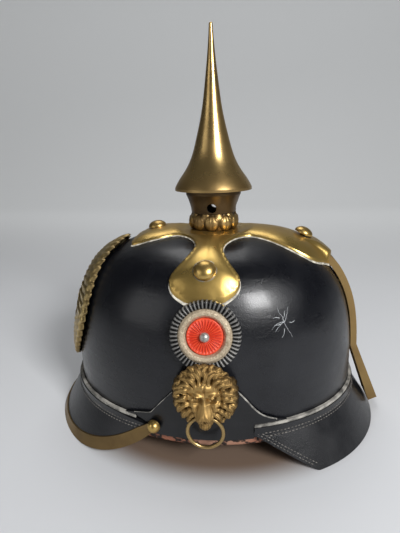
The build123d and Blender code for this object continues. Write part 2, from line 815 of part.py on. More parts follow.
# Cockade ring: a disc of black leather with a pleated edge.
with BuildPart() as cockade_ring_left:
    with BuildSketch(cockade_plane):
        Circle(cockade_radius)
        with PolarLocations(cockade_radius, pleat_count):
            Circle(pleat_radius, mode=Mode.SUBTRACT)
        Circle(cockade_bore, mode=Mode.SUBTRACT)
    extrude(amount=cockade_thickness)
cockade_ring_left.part.label = "cockade_ring_left"
export_step(cockade_ring_left.part, "parts/cockade_ring_left.step")

# Cockade's raised ring of silvered metal.
ring_plane = cockade_plane.offset(cockade_thickness + pin_play)
with BuildPart() as cockade_silver_left:
    with BuildSketch(ring_plane):
        Circle(silver_radius)
        Circle(silver_inner_radius, mode=Mode.SUBTRACT)
    extrude(amount=silver_height)
    crown_edges = cockade_silver_left.edges().sort_by(Axis(ring_plane.origin, ring_plane.z_dir))[-2:]
    fillet(crown_edges, silver_crown)
cockade_silver_left.part.label = "cockade_silver_left"
export_step(cockade_silver_left.part, "parts/cockade_silver_left.step")

# Cockade's pleated centre.
with BuildPart() as cockade_centre_left:
    with BuildSketch(ring_plane):
        Circle(centre_radius)
    extrude(amount=centre_height)
    fillet(cockade_centre_left.edges().sort_by(Axis(ring_plane.origin, ring_plane.z_dir))[-1], centre_crown)
    with Locations(ring_plane):
        Cylinder(pin_shank_radius + pin_play, 4 * centre_height, mode=Mode.SUBTRACT)
cockade_centre_left.part.label = "cockade_centre_left"
export_step(cockade_centre_left.part, "parts/cockade_centre_left.step")

# Cockade's pin: a domed head and a threaded shank through the skull.
pin_depth = cockade_thickness + centre_height + inner_depth + nut_height + 2 * seat
with BuildPart() as cockade_pin_left:
    with Locations(ring_plane.offset(centre_height + pin_play)):
        add(domed_pin(pin_radius, pin_height, pin_shank_radius, pin_depth + seat))
cockade_pin_left.part.label = "cockade_pin_left"
export_step(cockade_pin_left.part, "parts/cockade_pin_left.step")

# Lion ring: a brass ring that hangs in the lion's mouth.
ring_pivot = lion_plane.from_local_coords((0, -ring_pivot_drop, ring_pivot_stand))
ring_middle = ring_pivot - Vector(0, 0, ring_radius)
with BuildPart() as lion_ring_left:
    with Locations(Plane(origin=ring_middle, x_dir=(1, 0, 0), z_dir=(0, 1, 0))):
        Torus(ring_radius, ring_wire_radius)
lion_ring_left.part.label = "lion_ring_left"
export_step(lion_ring_left.part, "parts/lion_ring_left.step")

# Lion mask: cast brass, a mane of locks round brow, muzzle and chin, on a bolt. The ring swings in
# its mouth.
sweep_plane = Plane(origin=ring_pivot, x_dir=(1, 0, 0), z_dir=(0, 1, 0)).rotated((-ring_end_play, 0, 0))
with BuildPart() as ring_room:
    with BuildSketch(sweep_plane):
        with Locations((0, ring_radius)):
            Circle(ring_radius + ring_wire_radius + ring_play)
            Circle(ring_radius - ring_wire_radius - ring_play, mode=Mode.SUBTRACT)
        Rectangle(4 * ring_radius, 4 * ring_radius, align=(Align.CENTER, Align.MIN), mode=Mode.INTERSECT)
    revolve(axis=Axis(ring_pivot, (1, 0, 0)), revolution_arc=-ring_swing - 2 * ring_end_play)
with BuildPart() as lion_head_left:
    with BuildSketch(lion_plane):
        Circle(mane_radius)
        with PolarLocations(lock_ring_radius, lock_count, start_angle=lock_start_angle,
                            angular_range=lock_range):
            Circle(lock_radius)
        with Locations((0, -chin_drop)):
            Circle(chin_radius)
    extrude(amount=mane_stand)
    with Locations(lion_plane):
        with Locations((0, crest_rise, crest_stand)):
            Sphere(crest_radius)
        with Locations((0, brow_rise, brow_stand)):
            Sphere(brow_radius)
        with Locations((0, -muzzle_drop, muzzle_stand)):
            Sphere(muzzle_radius)
        with Locations((0, -chin_drop, chin_stand)):
            Sphere(chin_radius)
    with Locations(lion_plane):
        Cylinder(2 * lion_radius, 2 * lion_radius, align=(Align.CENTER, Align.CENTER, Align.MIN),
                 mode=Mode.INTERSECT)
    add(ring_room.part, mode=Mode.SUBTRACT)
    with Locations(Plane(origin=ring_pivot, x_dir=(0, 1, 0), z_dir=(1, 0, 0))):
        Cylinder(mouth_radius, 2 * mouth_half, mode=Mode.SUBTRACT)
    with Locations(cockade_plane):
        Cylinder(cockade_radius + seat, cockade_thickness + 2 * pin_play + seat,
                 align=(Align.CENTER, Align.CENTER, Align.MIN), mode=Mode.SUBTRACT)
    with Locations(lion_plane):
        Cylinder(lion_bolt_radius, inner_depth + lion_seat + nut_height,
                 align=(Align.CENTER, Align.CENTER, Align.MAX))
lion_head_left.part.label = "lion_head_left"
export_step(lion_head_left.part, "parts/lion_head_left.step")

# Front plate: stamped brass, a wreath of leaves round a star with a plain boss.
plate_z = rim_height + plate_middle_height


def plate_oval(half_width, half_height):
    """Oval of the front plate in front view."""
    with BuildSketch() as oval:
        with Locations((0, plate_z)):
            Ellipse(half_width, half_height)
    return oval.sketch


with BuildSketch() as wreath:
    add(plate_oval(plate_half_width, plate_half_height))
    for leaf in range(plate_leaf_count):
        turned = Vector(plate_half_width, 0).rotate(Axis.Z, 360 * (leaf + 0.5) / plate_leaf_count)
        with Locations((turned.X, plate_z + turned.Y * plate_half_height / plate_half_width)):
            Circle(plate_leaf_radius)
    add(plate_oval(wreath_inner_half_width, wreath_inner_half_height), mode=Mode.SUBTRACT)


def plate_layer(low, high, outline):
    """Layer of the front plate between two heights over the skull, cut to an outline in front view."""
    with BuildPart() as layer:
        add(dome(high, 0))
        add(dome(low, overrun), mode=Mode.SUBTRACT)
        with BuildSketch(Plane.YZ.offset(-plate_top_back)):
            add(outline)
        extrude(amount=-far_front, mode=Mode.INTERSECT)
    return layer.part


plate_face = plate_stand + plate_wall
boss_plane = skull_plane(-rounding(plate_middle_height / skull_height), 0,
                         plate_middle_height / skull_height, plate_face)
with BuildPart() as front_plate:
    add(plate_layer(plate_stand, plate_face, plate_oval(wreath_inner_half_width + seat,
                                                        wreath_inner_half_height + seat)))
    add(plate_layer(plate_stand, plate_face + plate_relief, wreath.sketch))
    with Locations(boss_plane):
        Cone(star_radius, boss_radius, plate_relief, align=(Align.CENTER, Align.CENTER, Align.MIN))
        with Locations((0, 0, plate_relief)):
            Sphere(boss_radius)
        Cylinder(star_radius, star_depth, align=(Align.CENTER, Align.CENTER, Align.MAX))
    add(dome(plate_stand, overrun), mode=Mode.SUBTRACT)
    with Locations(*[plane.offset(-inner_depth - nut_height - seat) for plane in post_planes]):
        Cylinder(post_radius, inner_depth + nut_height + plate_face,
                 align=(Align.CENTER, Align.CENTER, Align.MIN))
front_plate.part.label = "front_plate"
export_step(front_plate.part, "parts/front_plate.step")

# Nuts inside the skull for the plate's posts, the cockades' pins and the lions' bolts.
pin_seat = cockade_plane.offset(-seat)
bolt_seat = lion_plane.offset(-lion_seat)
for name, planes, radius in (
    ("plate_nuts", post_planes, post_radius),
    ("cockade_nuts", [pin_seat, mirrored(pin_seat)], pin_shank_radius),
    ("lion_nuts", [bolt_seat, mirrored(bolt_seat)], lion_bolt_radius),
):
    with BuildPart() as nuts:
        with Locations(*[plane.offset(-inner_depth) for plane in planes]):
            add(nut(radius))
    nuts.part.label = name
    export_step(nuts.part, f"parts/{name}.step")

# Sweatband: a leather band inside the rim, hanging a little below it.
band_outer = skull_wall + seat
with BuildPart() as sweatband:
    add(dome(-band_outer, band_drop))
    add(dome(-band_outer - band_wall, band_drop + overrun), mode=Mode.SUBTRACT)
    with BuildSketch(Plane.XY.offset(rim_height - band_drop)):
        Circle(far_front)
    extrude(amount=band_drop + band_height, mode=Mode.INTERSECT)
sweatband.part.label = "sweatband"
export_step(sweatband.part, "parts/sweatband.step")

# Lining: cloth under the crown, open at the top, with a hem that meets the sweatband.
lining_width = skull_half_width - lining_stand
lining_top = skull_height - lining_stand
lining_stretch_share = (skull_half_length - lining_stand) / lining_width
lining_foot_share = asin((lining_foot / lining_top) ** (fullness_share / 2)) * 2 / pi
lining_turns = [lining_foot_share + (lining_top_share - lining_foot_share) * step
                for step in (0, 0.25, 0.5, 0.75, 1)]
hem_width = (skull_half_length - band_outer - band_wall - seat) / lining_stretch_share
hem_top_share = (lining_foot + lining_hem) / (skull_height - band_outer - band_wall - seat)
hem_radius = hem_width * rounding(hem_top_share)
with BuildPart() as lining_round:
    with BuildSketch(Plane.XZ):
        with BuildLine():
            outer = Spline(*[
                (lining_width * spread(turn), lining_top * rise(turn))
                for turn in lining_turns
            ])
            inner = Spline(*[
                ((lining_width - lining_wall) * spread(turn), (lining_top - lining_wall) * rise(turn))
                for turn in reversed(lining_turns)
            ])
            Line(outer @ 1, inner @ 0)
            Line(inner @ 1, outer @ 0)
        make_face()
        with Locations((hem_radius, lining_foot)):
            Rectangle(lining_stand - band_outer - band_wall - lining_wall / 2, lining_hem,
                      align=(Align.MAX, Align.MIN))
    revolve(axis=Axis.Z)
    scale(by=(lining_stretch_share, 1, 1))
with BuildPart() as lining:
    add(lining_round.part.moved(Location((-skull_forward, 0, rim_height))))
lining.part.label = "lining"
export_step(lining.part, "parts/lining.step")

# The right side's pieces are the left side's, mirrored.
for piece in (side_patch_left, cockade_ring_left, cockade_silver_left, cockade_centre_left,
              cockade_pin_left, lion_head_left, lion_ring_left):
    with BuildPart() as twin:
        mirror(piece.part, about=Plane.XZ)
    twin.part.label = piece.part.label.replace("left", "right")
    export_step(twin.part, f"parts/{twin.part.label}.step")
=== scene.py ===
import random
from math import atan2, cos, exp, pi, radians, sin, sqrt

import bmesh
import bpy
from mathutils import Matrix, Vector


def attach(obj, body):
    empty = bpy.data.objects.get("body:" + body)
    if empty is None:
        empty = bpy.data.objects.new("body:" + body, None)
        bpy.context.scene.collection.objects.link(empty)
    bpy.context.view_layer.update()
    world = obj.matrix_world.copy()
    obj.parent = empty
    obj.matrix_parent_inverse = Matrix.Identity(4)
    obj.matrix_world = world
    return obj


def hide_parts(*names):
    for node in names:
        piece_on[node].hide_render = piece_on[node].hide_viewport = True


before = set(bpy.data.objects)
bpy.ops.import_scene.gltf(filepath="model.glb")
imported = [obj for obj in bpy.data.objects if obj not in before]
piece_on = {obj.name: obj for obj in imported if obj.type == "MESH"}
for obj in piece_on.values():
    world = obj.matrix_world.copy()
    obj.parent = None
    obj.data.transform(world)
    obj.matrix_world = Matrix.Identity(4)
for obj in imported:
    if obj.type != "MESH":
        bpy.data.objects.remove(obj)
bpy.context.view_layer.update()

# Studio: a pale floor that runs up into the background, a broad lamp above the camera's right
# shoulder, a weak one from the left and one behind. The camera stands where the photographer did.
scene = bpy.context.scene
eye = Vector((0.026795, -0.289484, 0.198987))
look = Vector((-0.126148, 0.949851, -0.286128)).normalized()
side = look.cross(Vector((0, 0, 1))).normalized()
over = side.cross(look).normalized()
roll = radians(-1.59)
right = side * cos(roll) + over * sin(roll)
up = over * cos(roll) - side * sin(roll)
lens = bpy.data.cameras.new("camera")
lens.lens = 25.95
lens.sensor_width = 36
lens.clip_start = 0.01
camera = bpy.data.objects.new("camera", lens)
camera.matrix_world = Matrix.Translation(eye) @ Matrix((right, up, -look)).transposed().to_4x4()
scene.collection.objects.link(camera)
scene.camera = camera
scene.view_settings.view_transform = "Standard"
lamp_target = Vector((0, 0, 0.12))
for name, place, size, watts in (("key", (0.68, -0.83, 0.77), 0.36, 18.0),
                                 ("fill", (-0.9, -0.8, 0.5), 0.7, 2.2),
                                 ("top", (-0.1, 0.5, 1.2), 0.7, 5.0)):
    lamp = bpy.data.lights.new(name, "AREA")
    lamp.energy = watts
    lamp.size = size
    lit = bpy.data.objects.new(name, lamp)
    lit.location = place
    lit.rotation_euler = (lamp_target - Vector(place)).to_track_quat("-Z", "Y").to_euler()
    scene.collection.objects.link(lit)


def add_node(tree, kind, inputs=None, **settings):
    """New shader node with these settings and input values."""
    made = tree.nodes.new("ShaderNode" + kind)
    for name, value in settings.items():
        setattr(made, name, value)
    for name, value in (inputs or {}).items():
        made.inputs[name].default_value = value
    return made


sky = bpy.data.worlds.new("studio")
sky.use_nodes = True
scene.world = sky
air = sky.node_tree
sky_colour = (0.86, 0.88, 0.9, 1)
diffuse_sky = air.nodes["Background"]
diffuse_sky.inputs["Color"].default_value = sky_colour
diffuse_sky.inputs["Strength"].default_value = 0.13
gloss_sky = add_node(air, "Background", {"Color": sky_colour, "Strength": 0.05})
backdrop = add_node(air, "Background", {"Color": (0.74, 0.76, 0.78, 1)})
ray = add_node(air, "LightPath")
shown_sky = diffuse_sky.outputs[0]
for kind, instead in (("Is Glossy Ray", gloss_sky), ("Is Camera Ray", backdrop)):
    choice = add_node(air, "MixShader")
    air.links.new(ray.outputs[kind], choice.inputs["Fac"])
    air.links.new(shown_sky, choice.inputs[1])
    air.links.new(instead.outputs[0], choice.inputs[2])
    shown_sky = choice.outputs[0]
air.links.new(shown_sky, air.nodes["World Output"].inputs["Surface"])


def new_finish(name, roughness=0.5, metallic=0.0):
    """A finish and its shader, ready for its nodes."""
    finish = bpy.data.materials.new(name)
    finish.use_nodes = True
    shader = finish.node_tree.nodes["Principled BSDF"]
    shader.inputs["Roughness"].default_value = roughness
    shader.inputs["Metallic"].default_value = metallic
    return finish, shader


def blend(finish, amount, low, high):
    """Mix of two colours, either of which may already be a socket."""
    mix = add_node(finish.node_tree, "Mix", data_type="RGBA")
    finish.node_tree.links.new(amount, mix.inputs["Factor"])
    for socket, colour in (("A", low), ("B", high)):
        target = [put for put in mix.inputs if put.name == socket and put.type == "RGBA"][0]
        if isinstance(colour, tuple):
            target.default_value = (*colour, 1)
        else:
            finish.node_tree.links.new(colour, target)
    return [out for out in mix.outputs if out.type == "RGBA"][0]


def times(finish, first, second):
    """Product of two values."""
    product = add_node(finish.node_tree, "Math", operation="MULTIPLY")
    for put, value in zip(product.inputs, (first, second)):
        if isinstance(value, (int, float)):
            put.default_value = value
        else:
            finish.node_tree.links.new(value, put)
    return product.outputs["Value"]


def smooth_rise(finish, value, start, end, top=1.0):
    """Value that goes smoothly from 0 at start to top at end."""
    rise = add_node(finish.node_tree, "MapRange", {"From Min": start, "From Max": end, "To Max": top},
                    interpolation_type="SMOOTHSTEP")
    finish.node_tree.links.new(value, rise.inputs["Value"])
    return rise.outputs["Result"]


def pull(work, edges):
    """Draws faces out of these edges and gives the new edges and the new points."""
    made = bmesh.ops.extrude_edge_only(work, edges=edges)["geom"]
    return [[part for part in made if isinstance(part, kind)]
            for kind in (bmesh.types.BMEdge, bmesh.types.BMVert)]


def face_out(work):
    """Turns the faces of a piece outwards."""
    bmesh.ops.recalc_face_normals(work, faces=work.faces)


bend_start, bend_radius, bend_steps, wall_top = 1.1, 0.9, 16, 4
table = bmesh.new()
bmesh.ops.create_grid(table, x_segments=1, y_segments=1, size=2.5)
far = [edge for edge in table.edges if all(vert.co.y > 2 for vert in edge.verts)]
for vert in far[0].verts:
    vert.co.y = bend_start
for number in range(bend_steps):
    bend = pi / 2 * (number + 1) / bend_steps
    far, points = pull(table, far)
    for vert in points:
        vert.co.y, vert.co.z = bend_start + bend_radius * sin(bend), bend_radius * (1 - cos(bend))
for vert in pull(table, far)[1]:
    vert.co.z = wall_top
face_out(table)
floor_mesh = bpy.data.meshes.new("floor")
table.to_mesh(floor_mesh)
for face in floor_mesh.polygons:
    face.use_smooth = True
floor = bpy.data.objects.new("floor", floor_mesh)
floor_paint, floor_shader = new_finish("floor", 0.8)
floor_shader.inputs["Specular IOR Level"].default_value = 0.2
floor_shader.inputs["Emission Color"].default_value = (0.98, 1, 1, 1)
tree = floor_paint.node_tree
floor_place = add_node(tree, "TexCoord").outputs["Object"]
floor_part = add_node(tree, "SeparateXYZ")
tree.links.new(floor_place, floor_part.inputs["Vector"])
rearwards = floor_part.outputs["Y"]
fade = smooth_rise(floor_paint, rearwards, -0.25, 0.75)
pale = blend(floor_paint, fade, (0.61, 0.62, 0.64), (0.6, 0.61, 0.62))

# A painted brown shadow on the floor under the helmet, and the glow that keeps the background even.
painted_shadow_oval = add_node(tree, "VectorMath", {1: (7.9, 9.6, 0)}, operation="MULTIPLY")
reach = add_node(tree, "VectorMath", operation="LENGTH")
tree.links.new(floor_place, painted_shadow_oval.inputs[0])
tree.links.new(painted_shadow_oval.outputs["Vector"], reach.inputs[0])
outside_painted_shadow = smooth_rise(floor_paint, reach.outputs["Value"], 0.8, 1.03)
# Inside the oval the floor is painted dark brown: a painted shadow under the helmet.
floor_with_painted_shadow = blend(floor_paint, outside_painted_shadow, (0.16, 0.11, 0.08), pale)
tree.links.new(floor_with_painted_shadow, floor_shader.inputs["Base Color"])
glow = smooth_rise(floor_paint, rearwards, 0.3, 1.05, 0.25)
seen = add_node(tree, "LightPath").outputs["Is Camera Ray"]
tree.links.new(times(floor_paint, glow, seen), floor_shader.inputs["Emission Strength"])
floor_mesh.materials.append(floor_paint)
scene.collection.objects.link(floor)


# Skull: black leather, blocked to an oval dome and polished. Its finish has fine grain, scratches
# and duller worn places. Its form is a fuller ellipsoid that stands on the rim.
skull_x, skull_long, skull_wide = -0.0029, 0.1084, 0.0863
rim_z, skull_rise, fullness = 0.022, 0.1194, 3.2


def noise(finish, scale, detail, spread, stretch=(1, 1, 1)):
    """Noise over the object's own coordinates, as a value between 0 and 1."""
    tree = finish.node_tree
    place = add_node(tree, "TexCoord")
    turn = add_node(tree, "Mapping", {"Scale": stretch})
    cloud = add_node(tree, "TexNoise", {"Scale": scale, "Detail": detail})
    band = add_node(tree, "MapRange", {"From Min": 0.5 - spread, "From Max": 0.5 + spread})
    tree.links.new(place.outputs["Object"], turn.inputs["Vector"])
    tree.links.new(turn.outputs["Vector"], cloud.inputs["Vector"])
    tree.links.new(cloud.outputs["Fac"], band.inputs["Value"])
    return band.outputs["Result"]


def tint(finish, shader, amount, low, high):
    """Colours a finish with a mix of two tones."""
    finish.node_tree.links.new(blend(finish, amount, low, high), shader.inputs["Base Color"])


def between(finish, amount, low, high):
    """Value between low and high."""
    band = add_node(finish.node_tree, "MapRange", {"To Min": low, "To Max": high})
    finish.node_tree.links.new(amount, band.inputs["Value"])
    return band.outputs["Result"]


def emboss(finish, height, depth, strength, below=None):
    """Bump from a height, over another bump if one is given."""
    bump = add_node(finish.node_tree, "Bump", {"Distance": depth, "Strength": strength})
    finish.node_tree.links.new(height, bump.inputs["Height"])
    if below:
        finish.node_tree.links.new(below, bump.inputs["Normal"])
    return bump.outputs["Normal"]


def black_leather(name, dark, worn_and_highlight_tone, gloss, grain=0.35):
    """Polished black leather with grain, scratches and worn places. Its lighter tone also serves as the
    painted highlight on the cockade's pleats.
    """
    finish, shader = new_finish(name)
    tree = finish.node_tree
    wear = noise(finish, 38, 6, 0.16)
    patches = noise(finish, 9, 3, 0.2)
    scratch = noise(finish, 60, 8, 0.05, (0.25, 1, 3.2))
    pores = noise(finish, 1500, 2, 0.3)
    tint(finish, shader, times(finish, wear, times(finish, patches, 0.8)), dark, worn_and_highlight_tone)
    dullness = between(finish, times(finish, wear, patches), gloss, gloss + 0.22)
    tree.links.new(dullness, shader.inputs["Roughness"])
    fine = emboss(finish, pores, 0.0002, grain)
    tree.links.new(emboss(finish, scratch, 0.0003, 0.16, fine), shader.inputs["Normal"])
    shader.inputs["Specular IOR Level"].default_value = 0.28
    shader.inputs["Coat Weight"].default_value = 0.3 if gloss < 0.4 else 0.0
    shader.inputs["Coat Roughness"].default_value = 0.2
    return finish, shader


def cover(finish, *nodes):
    """Puts a finish on whole CAD nodes."""
    for node in nodes:
        mesh = piece_on[node].data
        mesh.materials.clear()
        mesh.materials.append(finish)


blocked, _ = black_leather("skull_leather", (0.003, 0.0033, 0.005), (0.012, 0.013, 0.016), 0.24, 0.55)
cover(blocked, "skull_shell")


# Visors: the same leather, a little duller, sewn to the skull. The piping over each seam is coloured
# a mottled pale grey, so that it shows as a pale line along the seam.
visor_leather, _ = black_leather("visor_leather", (0.006, 0.0065, 0.008), (0.026, 0.026, 0.028), 0.3, 0.6)
cover(visor_leather, "front_visor", "rear_visor")
# This pale finish is also used below as the painted highlight along the side facings' edges.
pale_piping_and_highlight, pale_piping_and_highlight_shader = black_leather("pale_piping_and_painted_highlight", (0.05, 0.048, 0.046), (0.42, 0.4, 0.37), 0.5)
piping_mottle = noise(pale_piping_and_highlight, 130, 4, 0.1)
tint(pale_piping_and_highlight, pale_piping_and_highlight_shader, piping_mottle, (0.12, 0.115, 0.105), (0.42, 0.4, 0.36))
cover(pale_piping_and_highlight, "front_welt", "rear_welt")


# Side facings: arched leather over each side seam, cut along the rim. A pale line along the arch's
# edge, broader towards the back, is a painted highlight where the raised edge catches the light.
# The arch's edge is found on the CAD node's own mesh.
def settle(work, name, body, slot, finish, *nodes, smooth=True):
    """Makes a finished bmesh a piece that rides on a body and stands for these nodes."""
    mesh = bpy.data.meshes.new(name)
    work.to_mesh(mesh)
    work.free()
    for face in mesh.polygons:
        face.use_smooth = smooth
    mesh.materials.append(finish)
    piece = bpy.data.objects.new(name, mesh)
    scene.collection.objects.link(piece)
    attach(piece, body)
    if nodes:
        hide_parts(*nodes)
    return piece


def free_edges(work):
    """Edges where a sheet of faces ends."""
    return [edge for edge in work.edges if edge.is_boundary]


def flare(spot):
    """How far a place stands out from the skull's form, measured level."""
    level = max(0.0, spot.z - rim_z) / skull_rise
    grow = sqrt(((spot.x - skull_x) / skull_long) ** 2 + (spot.y / skull_wide) ** 2)
    return (grow - (1 - level ** fullness) ** (1 / fullness)) * skull_wide


facing_leather, _ = black_leather("facing_leather", (0.003, 0.0033, 0.004), (0.012, 0.012, 0.014), 0.31)
facing_foot, arch_foot, facing_outer = 0.0226, 0.0295, 0.0012
column_width, last_column, sharp = 0.0015, 33, 0.7
highlight_width_rear, highlight_width_front = 0.0005, 0.00018
for node in ("side_patch_left", "side_patch_right"):
    facing = bmesh.new()
    facing.from_mesh(piece_on[node].data)
    bmesh.ops.remove_doubles(facing, verts=facing.verts, dist=1e-6)
    bmesh.ops.bisect_plane(facing, geom=facing.verts[:] + facing.edges[:] + facing.faces[:], dist=1e-7,
                           plane_co=(0, 0, facing_foot), plane_no=(0, 0, -1), clear_outer=True)
    bmesh.ops.holes_fill(facing, edges=free_edges(facing))
    highest = {}
    for edge in facing.edges:
        if len(edge.link_faces) != 2 or edge.calc_face_angle() <= sharp:
            continue
        for vert in edge.verts:
            column = round(vert.co.x / column_width)
            outer = abs(column) < last_column and flare(vert.co) > facing_outer
            if outer and vert.co.z > arch_foot and vert.co.z >= highest.get(column, vert).co.z:
                highest[column] = vert
    arch = [highest[column].co.copy() for column in sorted(highest)]
    settle(facing, node + "_leather", "helmet", "black_leather", facing_leather, node, smooth=False)
    # A thin pale ribbon along the arch's edge: a painted highlight on the raised edge, wider at the back.
    painted_edge_highlight = bmesh.new()
    last = None
    for start, end in zip(arch, arch[1:]):
        out = Vector((start.x - skull_x, start.y * 1.5, 0)).normalized()
        half = (end - start).cross(out).normalized() * (highlight_width_rear if start.x > 0 else highlight_width_front)
        here = [painted_edge_highlight.verts.new(start + half * way + out * lift)
                for way, lift in ((-1, 0.0), (0, 0.0003), (1, 0.0))]
        if last:
            for one in (0, 1):
                painted_edge_highlight.faces.new((last[one], last[one + 1], here[one + 1], here[one]))
        last = here
    face_out(painted_edge_highlight)
    settle(painted_edge_highlight, node + "_painted_edge_highlight", "helmet", "black_leather", pale_piping_and_highlight)


# Visor seams: two rows of waxed stitches along each visor's top, and two more along each slanting
# edge of the rear visor.
def visor_form(height, front):
    """Middle, half length and half width of a visor's outer face at a height over the table."""
    top = (-0.0029, 0.1114, 0.0893)
    foot = (-0.020, 0.109, 0.097) if front else (0.020, 0.105, 0.0955)
    fall = max(0.0, (0.0255 - height) / 0.0255)
    return [high + (low - high) * fall for high, low in zip(top, foot)]


def sew(work, line, pitch, width):
    """Rounded stitches laid end to end along a line of points."""
    run = [0.0]
    for start, end in zip(line, line[1:]):
        run.append(run[-1] + (end - start).length)
    for number in range(int(run[-1] / pitch)):
        ends = []
        for where in (number * pitch, (number + 0.72) * pitch):
            part = next(place for place in range(1, len(run)) if run[place] >= where)
            share = (where - run[part - 1]) / (run[part] - run[part - 1])
            ends.append(line[part - 1].lerp(line[part], share))
        along = ends[1] - ends[0]
        made = bmesh.ops.create_uvsphere(work, u_segments=6, v_segments=4, radius=0.5)
        turn = along.to_track_quat("Z", "Y").to_matrix().to_4x4()
        scale = Matrix.Diagonal((width, width, along.length, 1))
        bmesh.ops.transform(work, verts=made["verts"],
                            matrix=Matrix.Translation((ends[0] + ends[1]) / 2) @ turn @ scale)


threads = bmesh.new()
for height in (0.0268, 0.0246):
    for front, low, high in ((True, 109, 251), (False, -68.5, 68.5)):
        middle, long, wide = visor_form(height, front)
        turns = [radians(low + (high - low) * step / 90) for step in range(91)]
        seam = [Vector((middle + long * cos(turn), wide * sin(turn), height)) for turn in turns]
        sew(threads, seam, 0.0026, 0.0008)
slant_top, slant_top_x, slant_foot_x, row_top, row_drop = 0.026, 0.0315, 0.073, 0.0265, 0.0235
for flank in (-1, 1):
    for inset in (0.0022, 0.0046):
        seam = []
        for step in range(21):
            height = row_top - row_drop * step / 20
            along = slant_top_x + (slant_top - height) * (slant_foot_x - slant_top_x) / slant_top
            along += inset * 1.2
            middle, long, wide = visor_form(height, False)
            seam.append(Vector((along, flank * wide * sqrt(1 - ((along - middle) / long) ** 2), height)))
        sew(threads, seam, 0.0024, 0.0007)
thread, thread_shader = new_finish("waxed_thread", 0.75)
tint(thread, thread_shader, noise(thread, 300, 2, 0.2), (0.04, 0.037, 0.034), (0.2, 0.185, 0.165))
settle(threads, "visor_stitches", "helmet", "black_leather", thread)


# Star of cracks: the leather's polish has split at the left and back. Fine pale lines run outwards
# from one place and grow thinner.
cracks = bmesh.new()
random.seed(7)
core = Vector((0.0486, -0.0682, 0.0972))
out = Vector((0.36, -0.83, 0.42)).normalized()
level = out.cross(Vector((0, 0, 1))).normalized()
rise_way = level.cross(out)


def on_dome(spot, stand):
    """Nearest point of the skull's form moved out by stand, along the ray from the dome's middle."""
    ray_way = Vector((spot.x - skull_x, spot.y, spot.z - rim_z))
    reach = sqrt((ray_way.x / skull_long) ** 2 + (ray_way.y / skull_wide) ** 2)
    size = (reach ** fullness + (ray_way.z / skull_rise) ** fullness) ** (1 / fullness)
    return Vector((skull_x, 0, rim_z)) + ray_way / size * (1 + stand / ray_way.length)


crack_width, crack_gap, crack_step = 0.0002, 0.0013, 0.0014
for heading, long, begin in ((0.3, 8, 0), (0.75, 4, 3), (1.25, 8, 0), (1.6, 4, 2), (2.75, 8, 0),
                             (3.3, 4, 3), (4.2, 9, 0), (4.75, 5, 3), (5.5, 7, 0), (5.9, 4, 2)):
    spot = Vector((cos(heading), sin(heading))) * crack_gap * begin
    width = crack_width
    last = None
    for number in range(long):
        centre_line = core + level * spot.x + rise_way * spot.y
        beside = (level * -sin(heading) + rise_way * cos(heading)) * width
        pair = [cracks.verts.new(on_dome(centre_line + beside * way, 0.00012)) for way in (-1, 1)]
        if last:
            cracks.faces.new((last[0], pair[0], pair[1], last[1]))
        last = pair
        heading += random.uniform(-0.5, 0.5)
        spot += Vector((cos(heading), sin(heading))) * crack_step
        width *= 0.86
face_out(cracks)
bared, bared_shader = new_finish("cracked_polish", 0.6)
tint(bared, bared_shader, noise(bared, 800, 2, 0.2), (0.5, 0.52, 0.53), (0.16, 0.17, 0.18))
settle(cracks, "polish_cracks", "helmet", "black_leather", bared)


# Brass furniture: spun, stamped and bent sheet, yellow where it is rubbed, brown in patches and
# dull with age. The strip on the visor, the spine, the spike, the studs and the screw disc share it.
def aged_brass(name, bright, dull, spread, gloss):
    """Brass with brown patches, fine scratches and soft dents."""
    finish, shader = new_finish(name, metallic=0.92)
    tree = finish.node_tree
    stain = noise(finish, 45, 7, spread)
    clouds = noise(finish, 14, 4, 0.2)
    brushed = noise(finish, 240, 4, 0.25, (1, 1, 0.2))
    dents = noise(finish, 60, 2, 0.3)
    tint(finish, shader, times(finish, stain, clouds), bright, dull)
    tree.links.new(between(finish, stain, gloss, gloss + 0.2), shader.inputs["Roughness"])
    soft = emboss(finish, dents, 0.0006, 0.12)
    tree.links.new(emboss(finish, brushed, 0.0002, 0.1, soft), shader.inputs["Normal"])
    return finish, shader


brasses = {}
for name, bright, dull, spread, gloss, nodes in (
        ("spike_brass", (0.54, 0.375, 0.15), (0.24, 0.14, 0.055), 0.2, 0.2, ("spike", "spike_screw")),
        ("stud_brass", (0.56, 0.38, 0.12), (0.28, 0.17, 0.06), 0.2, 0.24,
         ("trim_studs", "base_nuts", "cockade_nuts", "lion_nuts", "plate_nuts", "spine_prongs")),
        ("trim_brass", (0.22, 0.145, 0.06), (0.05, 0.03, 0.018), 0.12, 0.3, ("visor_trim",)),
        ("spine_brass", (0.34, 0.225, 0.09), (0.16, 0.09, 0.038), 0.2, 0.3, ("rear_spine",)),
        ("neck_brass", (0.14, 0.09, 0.04), (0.03, 0.018, 0.01), 0.12, 0.33, ("spike_neck",))):
    brasses[name], _ = aged_brass(name, bright, dull, spread, gloss)
    cover(brasses[name], *nodes)
washer_leather, _ = black_leather("washer_leather", (0.12, 0.07, 0.04), (0.2, 0.13, 0.08), 0.6)
cover(washer_leather, "spike_washer")
pewter, pewter_shader = new_finish("pewter", 0.42, 0.8)
tint(pewter, pewter_shader, noise(pewter, 400, 4, 0.2), (0.32, 0.31, 0.29), (0.66, 0.64, 0.6))
cover(pewter, "cockade_pin_left", "cockade_pin_right")


